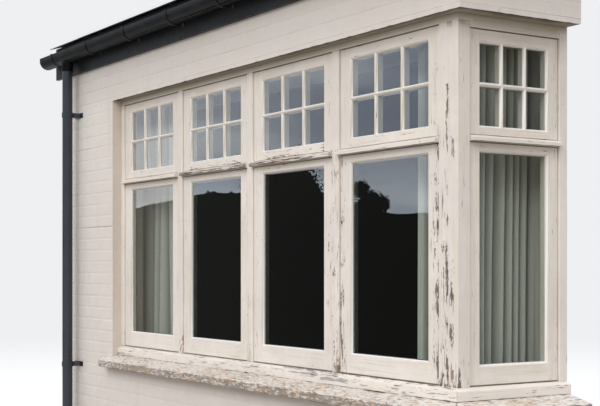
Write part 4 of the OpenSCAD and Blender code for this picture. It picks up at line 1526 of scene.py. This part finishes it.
# The card that the front panes mirror: its place, its turn, and its top edge as (along, up)
GARDEN_AT = (-9.5, -7.0)
GARDEN_TURN = -58.7
SKYLINE = [
    (-9.0, 1.9), (-4.0, 2.1), (-2.5, 2.33), (-1.72, 2.52), (-1.4, 2.60), (-1.24, 2.615),
    (-1.225, 2.65), (-1.195, 2.655), (-1.185, 2.625), (-1.12, 2.65), (-1.06, 2.625),
    (-0.92, 2.63), (-0.87, 2.665), (-0.83, 2.635), (-0.69, 2.64), (-0.45, 2.9), (-0.25, 3.0),
    (0.0, 3.05), (0.2, 3.0), (0.35, 2.85), (0.5, 2.60), (0.7, 2.5), (0.92, 2.48), (1.06, 2.45),
    (1.24, 2.40), (1.42, 2.34), (1.55, 2.33), (2.2, 2.32), (4.0, 2.2), (7.0, 2.0),
]
# Crowns before it: middle (along, up), half width and half height
CROWNS = [(-0.10, 2.60, 0.66, 0.60), (0.17, 3.08, 0.15, 0.27), (1.03, 2.68, 0.16, 0.15),
          (1.11, 2.38, 0.20, 0.30), (1.22, 2.48, 0.15, 0.21), (1.37, 2.46, 0.11, 0.15)]
GARDEN = (0.017, 0.019, 0.017, 1)
# The kinds of ray that show a card through the glass or mirrored in it
IN_GLASS = ("glossy", "transmission")


def plain_material(name, value):
    """One dull colour"""
    material, _, shader, _ = start(name, Roughness=0.95, Specular_IOR_Level=0.0)
    shader.inputs["Base Color"].default_value = value
    return material


def shade_material():
    """The dark room behind and above the bay's inside, as the light in there meets it"""
    material, tree, shader, _ = start("room_shade", Roughness=0.95)
    shader.inputs["Base Color"].default_value = (0.02, 0.02, 0.02, 1)
    clear = tree.nodes.new("ShaderNodeBsdfTransparent").outputs[0]
    show_both(tree, ROOM_LIGHT, shader.outputs[0], clear)
    return material


def garden_material():
    """Near black, and grey where the leftmost pane mirrors it"""
    material, tree, shader, coords = start("dark_card", Roughness=0.95, Specular_IOR_Level=0.0)
    lighter = between(tree, one_axis(tree, coords, "Y"), -5.85, -5.45)
    give(tree, shader, Base_Color=mix(tree, lighter, GARDEN, (0.16, 0.155, 0.135, 1)))
    return material


def side_material():
    """What the side light mirrors: paler towards its left"""
    material, tree, shader, coords = start("side_card", Roughness=0.95, Specular_IOR_Level=0.0)
    darker = between(tree, one_axis(tree, coords, "Y"), 4.70, 5.02)
    give(tree, shader, Base_Color=mix(tree, darker, (0.19, 0.21, 0.24, 1), (0.02, 0.02, 0.018, 1)))
    return material


def leaf_material():
    """Ragged crowns: dark within the rim of each, clear past it"""
    material, tree, shader, coords = start("leaf_card", Roughness=0.95, Specular_IOR_Level=0.0)
    shader.inputs["Base Color"].default_value = GARDEN
    rim = attribute(tree, "rim")
    leaves = noise_of(tree, coords, 30.0, 4.0, 0.65)
    ragged = plus(tree, rim, between(tree, leaves, 0.3, 0.7, -0.24, 0.24))
    clear = tree.nodes.new("ShaderNodeBsdfTransparent").outputs[0]
    show_both(tree, between(tree, ragged, 0.86, 0.92), shader.outputs[0], clear)
    return material


def seen_rays(tree):
    """1 for rays that show a surface in the picture, straight or mirrored; 1 for straight ones"""
    path = tree.nodes.new("ShaderNodeLightPath").outputs
    mirrored = calc(tree, "MAXIMUM", path["Is Glossy Ray"], path["Is Transmission Ray"])
    return calc(tree, "MAXIMUM", path["Is Camera Ray"], mirrored), path["Is Camera Ray"]


def floor_material():
    """A pale floor that fades into the background far from the part, and lights it more warmly"""
    studio = settings("studio")
    material, tree, shader, coords = start("studio_floor", Roughness=0.95)
    seen, camera = seen_rays(tree)
    give(tree, shader, Base_Color=mix(tree, seen, paint(studio.floor_light), paint(studio.floor)))
    away = add(tree, "VectorMath", {0: coords}, operation="LENGTH").outputs["Value"]
    far = times(tree, between(tree, away, *FADE), camera)
    glow = add(tree, "Emission", {"Color": paint(studio.background), "Strength": 1.0}).outputs[0]
    show_both(tree, far, shader.outputs[0], glow)
    return material


def stage_piece(name, bm, material, seen_by=()):
    """A stage piece; seen_by names the only kinds of ray that meet it"""
    made = new_object(name, new_mesh(name, bm, [material]))
    if seen_by:
        for ray in ("camera", "diffuse", "glossy", "transmission", "volume_scatter", "shadow"):
            setattr(made, "visible_" + ray, ray in seen_by)


def set_floor():
    """A round floor just under the part"""
    bm = bmesh.new()
    bmesh.ops.create_circle(bm, cap_ends=True, segments=96, radius=FLOOR_R,
                            matrix=Matrix.Translation((0, 0, -0.002)))
    stage_piece("floor", bm, floor_material())


def add_card(bm, place, width, height, turn=0.0, tilt=90.0):
    """A card about its middle, upright at a tilt of 90 degrees and flat at 0"""
    upright = Matrix.Rotation(math.radians(tilt), 4, "X")
    matrix = Matrix.Translation(place) @ Matrix.Rotation(math.radians(turn), 4, "Z") @ upright
    bmesh.ops.create_grid(bm, x_segments=1, y_segments=1, size=0.5,
                          matrix=matrix @ Matrix.Diagonal((width, height, 1, 1)))


def set_room_cards():
    """A dark room behind the glass, and a shade for the light behind the bay and above it"""
    bm = bmesh.new()
    add_card(bm, (-0.5, 1.4, 2.2), 11.0, 4.4)
    stage_piece("room_card", bm, plain_material("room_card", (0.010, 0.0105, 0.010, 1)),
                ("transmission",))
    bm = bmesh.new()
    add_card(bm, (0, 0.02, 1.38), 4.0, 2.5)
    add_card(bm, (-0.05, -0.28, low("ceiling").z - 0.004), 3.66, 0.54, tilt=0.0)
    stage_piece("room_shade", bm, shade_material(), ("diffuse", "shadow"))


def add_skyline(bm):
    """A card from the ground up to the uneven top edge"""
    tops = [bm.verts.new((along, 0, up)) for along, up in SKYLINE]
    edges = [bm.edges.new(pair) for pair in zip(tops, tops[1:])]
    bmesh.ops.subdivide_edges(bm, edges=edges, cuts=9)
    for vert in bm.verts:
        vert.co.z += 0.03 * noise.noise(vert.co * 4.0) + 0.008 * noise.noise(vert.co * 40.0)
    made = bmesh.ops.extrude_edge_only(bm, edges=bm.edges[:])["geom"]
    for vert in made:
        if isinstance(vert, bmesh.types.BMVert):
            vert.co.z = 0


def add_crowns(bm):
    """The crowns, each a little before the last, with the way from the middle to the rim"""
    layer = bm.verts.layers.float.new("rim")
    for number, (along, up, half_width, half_height) in enumerate(CROWNS):
        crown = bmesh.ops.create_grid(bm, x_segments=12, y_segments=12, size=1.4)["verts"]
        for vert in crown:
            vert[layer] = vert.co.length
            vert.co = (along + half_width * vert.co.x, 0.02 + 0.02 * number,
                       up + half_height * vert.co.y)


def set_mirrored_cards():
    """Dark cards that the panes mirror under the sky"""
    to_garden = (Matrix.Translation((*GARDEN_AT, 0))
                 @ Matrix.Rotation(math.radians(GARDEN_TURN), 4, "Z"))
    bm = bmesh.new()
    add_skyline(bm)
    bm.transform(to_garden)
    stage_piece("garden_card", bm, garden_material(), IN_GLASS)
    bm = bmesh.new()
    add_crowns(bm)
    bm.transform(to_garden)
    stage_piece("garden_trees", bm, leaf_material(), IN_GLASS)
    bm = bmesh.new()
    add_card(bm, (7.9, 5.1, 2.5), 7.0, 5.0, turn=132.6)
    stage_piece("side_card", bm, side_material(), IN_GLASS)


def set_world():
    """A pale background for the camera, a mirrored sky for glass, overcast light for the rest"""
    studio = settings("studio")
    world = bpy.data.worlds.new("studio")
    world.use_nodes = True
    tree = world.node_tree
    tree.nodes.clear()
    seen, camera = seen_rays(tree)
    direction = tree.nodes.new("ShaderNodeTexCoord").outputs["Generated"]
    split = add(tree, "SeparateXYZ", {"Vector": direction}).outputs
    up, across = split["Z"], split["Y"]
    overcast = times(tree, calc(tree, "MAXIMUM", up, 0.0), 0.9 * studio.sky)
    light = add(tree, "Background", {"Color": (0.97, 0.98, 1.0, 1),
                                     "Strength": plus(tree, overcast, 0.55 * studio.sky)})
    clouds = noise_of(tree, stretch(tree, direction, (1, 1, 3)), 9.0, 4.0)
    height = plus(tree, up, between(tree, clouds, 0.3, 0.7, -0.015, 0.015))
    higher = between(tree, height, 0.055, 0.105)
    low_sky = mix(tree, between(tree, across, -0.475, -0.445), paint(studio.mirrored),
                  paint(studio.mirrored_cloud))
    high_sky = mix(tree, between(tree, across, -0.61, -0.42, 0.0, 0.5), paint(studio.mirrored_high),
                   paint(studio.mirrored_cloud))
    both_skies = mix(tree, higher, low_sky, high_sky)
    cloudy = mix(tree, between(tree, clouds, 0.38, 0.62), (0.80, 0.81, 0.83, 1),
                 (1.22, 1.20, 1.16, 1))
    mirrored = mix(tree, 1.0, both_skies, cloudy, "MULTIPLY")
    shown = mix(tree, camera, mirrored, paint(studio.background))
    pale = add(tree, "Background", {"Color": shown, "Strength": 1.0})
    both = add(tree, "MixShader", {0: seen, 1: light.outputs[0], 2: pale.outputs[0]})
    output = tree.nodes.new("ShaderNodeOutputWorld")
    tree.links.new(both.outputs[0], output.inputs["Surface"])
    bpy.context.scene.world = world


def area_light(name, place, target, size, power):
    """A round area lamp that the camera and the glass don't see"""
    lamp = bpy.data.lights.new(name, "AREA")
    lamp.shape = "DISK"
    lamp.size = size
    lamp.energy = power
    made = new_object(name, lamp)
    made.location = place
    made.rotation_euler = (Vector(target) - Vector(place)).to_track_quat("-Z", "Y").to_euler()
    made.visible_camera = False
    made.visible_glossy = False
    made.visible_transmission = False


def set_camera():
    """A level camera whose picture is shifted up, so that upright lines stay upright"""
    studio = settings("studio")
    data = bpy.data.cameras.new("camera")
    data.sensor_fit = "HORIZONTAL"
    data.sensor_width = 36
    data.lens = studio.focal
    data.shift_y = studio.shift
    data.clip_end = 200
    made = new_object("camera", data)
    made.location = studio.camera_at
    made.rotation_euler = (math.radians(90), 0, studio.camera_turn)
    bpy.context.scene.camera = made


def set_stage():
    """Everything that isn't the part"""
    bpy.context.scene.view_settings.view_transform = "Standard"
    set_floor()
    set_room_cards()
    set_mirrored_cards()
    set_world()
    area_light("key", KEY_AT, KEY_TARGET, KEY_SIZE, settings("studio").key)
    set_camera()


class BAYWINDOW_OT_stage(bpy.types.Operator):
    """Make the camera, the lights and the pale floor"""
    bl_idname = "baywindow.stage"
    bl_label = "Stage"

    def execute(self, context):
        set_stage()
        return {"FINISHED"}


class BAYWINDOW_OT_brickwork(bpy.types.Operator):
    """Lay the painted bricks"""
    bl_idname = "baywindow.brickwork"
    bl_label = "Brickwork"

    def execute(self, context):
        lay_brickwork()
        return {"FINISHED"}


class BAYWINDOW_OT_lintel(bpy.types.Operator):
    """Wear the lintel plate's edge"""
    bl_idname = "baywindow.lintel"
    bl_label = "Lintel"

    def execute(self, context):
        dress_lintel()
        return {"FINISHED"}


class BAYWINDOW_OT_stone_sill(bpy.types.Operator):
    """Chip the stone sill"""
    bl_idname = "baywindow.stone_sill"
    bl_label = "Stone Sill"

    def execute(self, context):
        dress_stone_sill()
        return {"FINISHED"}


class BAYWINDOW_OT_timber_frame(bpy.types.Operator):
    """Finish the frame's members"""
    bl_idname = "baywindow.timber_frame"
    bl_label = "Timber Frame"

    def execute(self, context):
        build_frame()
        return {"FINISHED"}


class BAYWINDOW_OT_sashes(bpy.types.Operator):
    """Make the casements and fanlights with their putty"""
    bl_idname = "baywindow.sashes"
    bl_label = "Sashes"

    def execute(self, context):
        build_sashes()
        return {"FINISHED"}


class BAYWINDOW_OT_glass(bpy.types.Operator):
    """Glaze the sashes"""
    bl_idname = "baywindow.glass"
    bl_label = "Glass"

    def execute(self, context):
        glaze()
        return {"FINISHED"}


class BAYWINDOW_OT_curtains(bpy.types.Operator):
    """Hang the gathered curtains"""
    bl_idname = "baywindow.curtains"
    bl_label = "Curtains"

    def execute(self, context):
        hang_curtains()
        return {"FINISHED"}


class BAYWINDOW_OT_inside(bpy.types.Operator):
    """Finish the boards, floor and ceiling"""
    bl_idname = "baywindow.inside"
    bl_label = "Inside"

    def execute(self, context):
        dress_inside()
        return {"FINISHED"}


class BAYWINDOW_OT_roof(bpy.types.Operator):
    """Lay the slates and finish the roof"""
    bl_idname = "baywindow.roof"
    bl_label = "Roof"

    def execute(self, context):
        build_roof()
        return {"FINISHED"}


class BAYWINDOW_OT_rainwater(bpy.types.Operator):
    """Finish the gutter and the downpipe"""
    bl_idname = "baywindow.rainwater"
    bl_label = "Rainwater Goods"

    def execute(self, context):
        build_rainwater()
        return {"FINISHED"}


OPERATORS = [
    BAYWINDOW_OT_stage, BAYWINDOW_OT_brickwork, BAYWINDOW_OT_lintel, BAYWINDOW_OT_stone_sill,
    BAYWINDOW_OT_timber_frame, BAYWINDOW_OT_sashes, BAYWINDOW_OT_glass, BAYWINDOW_OT_curtains,
    BAYWINDOW_OT_inside, BAYWINDOW_OT_roof, BAYWINDOW_OT_rainwater,
]


class BAYWINDOW_PT_sidebar(bpy.types.Panel):
    """Lists the bay window's pieces"""
    bl_label = "Bay Window"
    bl_idname = "BAYWINDOW_PT_sidebar"
    bl_space_type = "VIEW_3D"
    bl_region_type = "UI"
    bl_category = "Bay Window"

    def draw(self, context):
        for entry in OPERATORS:
            self.layout.operator(entry.bl_idname)


GROUPS = {"bricks": BrickSizes, "joinery": JoinerySizes, "roof": RoofSizes,
          "colours": FinishColours, "studio": StudioSettings}
CLASSES = [*GROUPS.values(), *OPERATORS, BAYWINDOW_PT_sidebar]


def register():
    """Adds the properties, the operators and the panel"""
    for entry in CLASSES:
        bpy.utils.register_class(entry)
    for name, group in GROUPS.items():
        setattr(bpy.types.Scene, "bay_" + name, PointerProperty(type=group))


def unregister():
    """Takes them away again"""
    for name in GROUPS:
        delattr(bpy.types.Scene, "bay_" + name)
    for entry in reversed(CLASSES):
        bpy.utils.unregister_class(entry)


def main():
    """Runs every operator"""
    register()
    for entry in OPERATORS:
        getattr(bpy.ops.baywindow, entry.bl_idname.split(".")[1])()


if __name__ == "__main__":
    main()
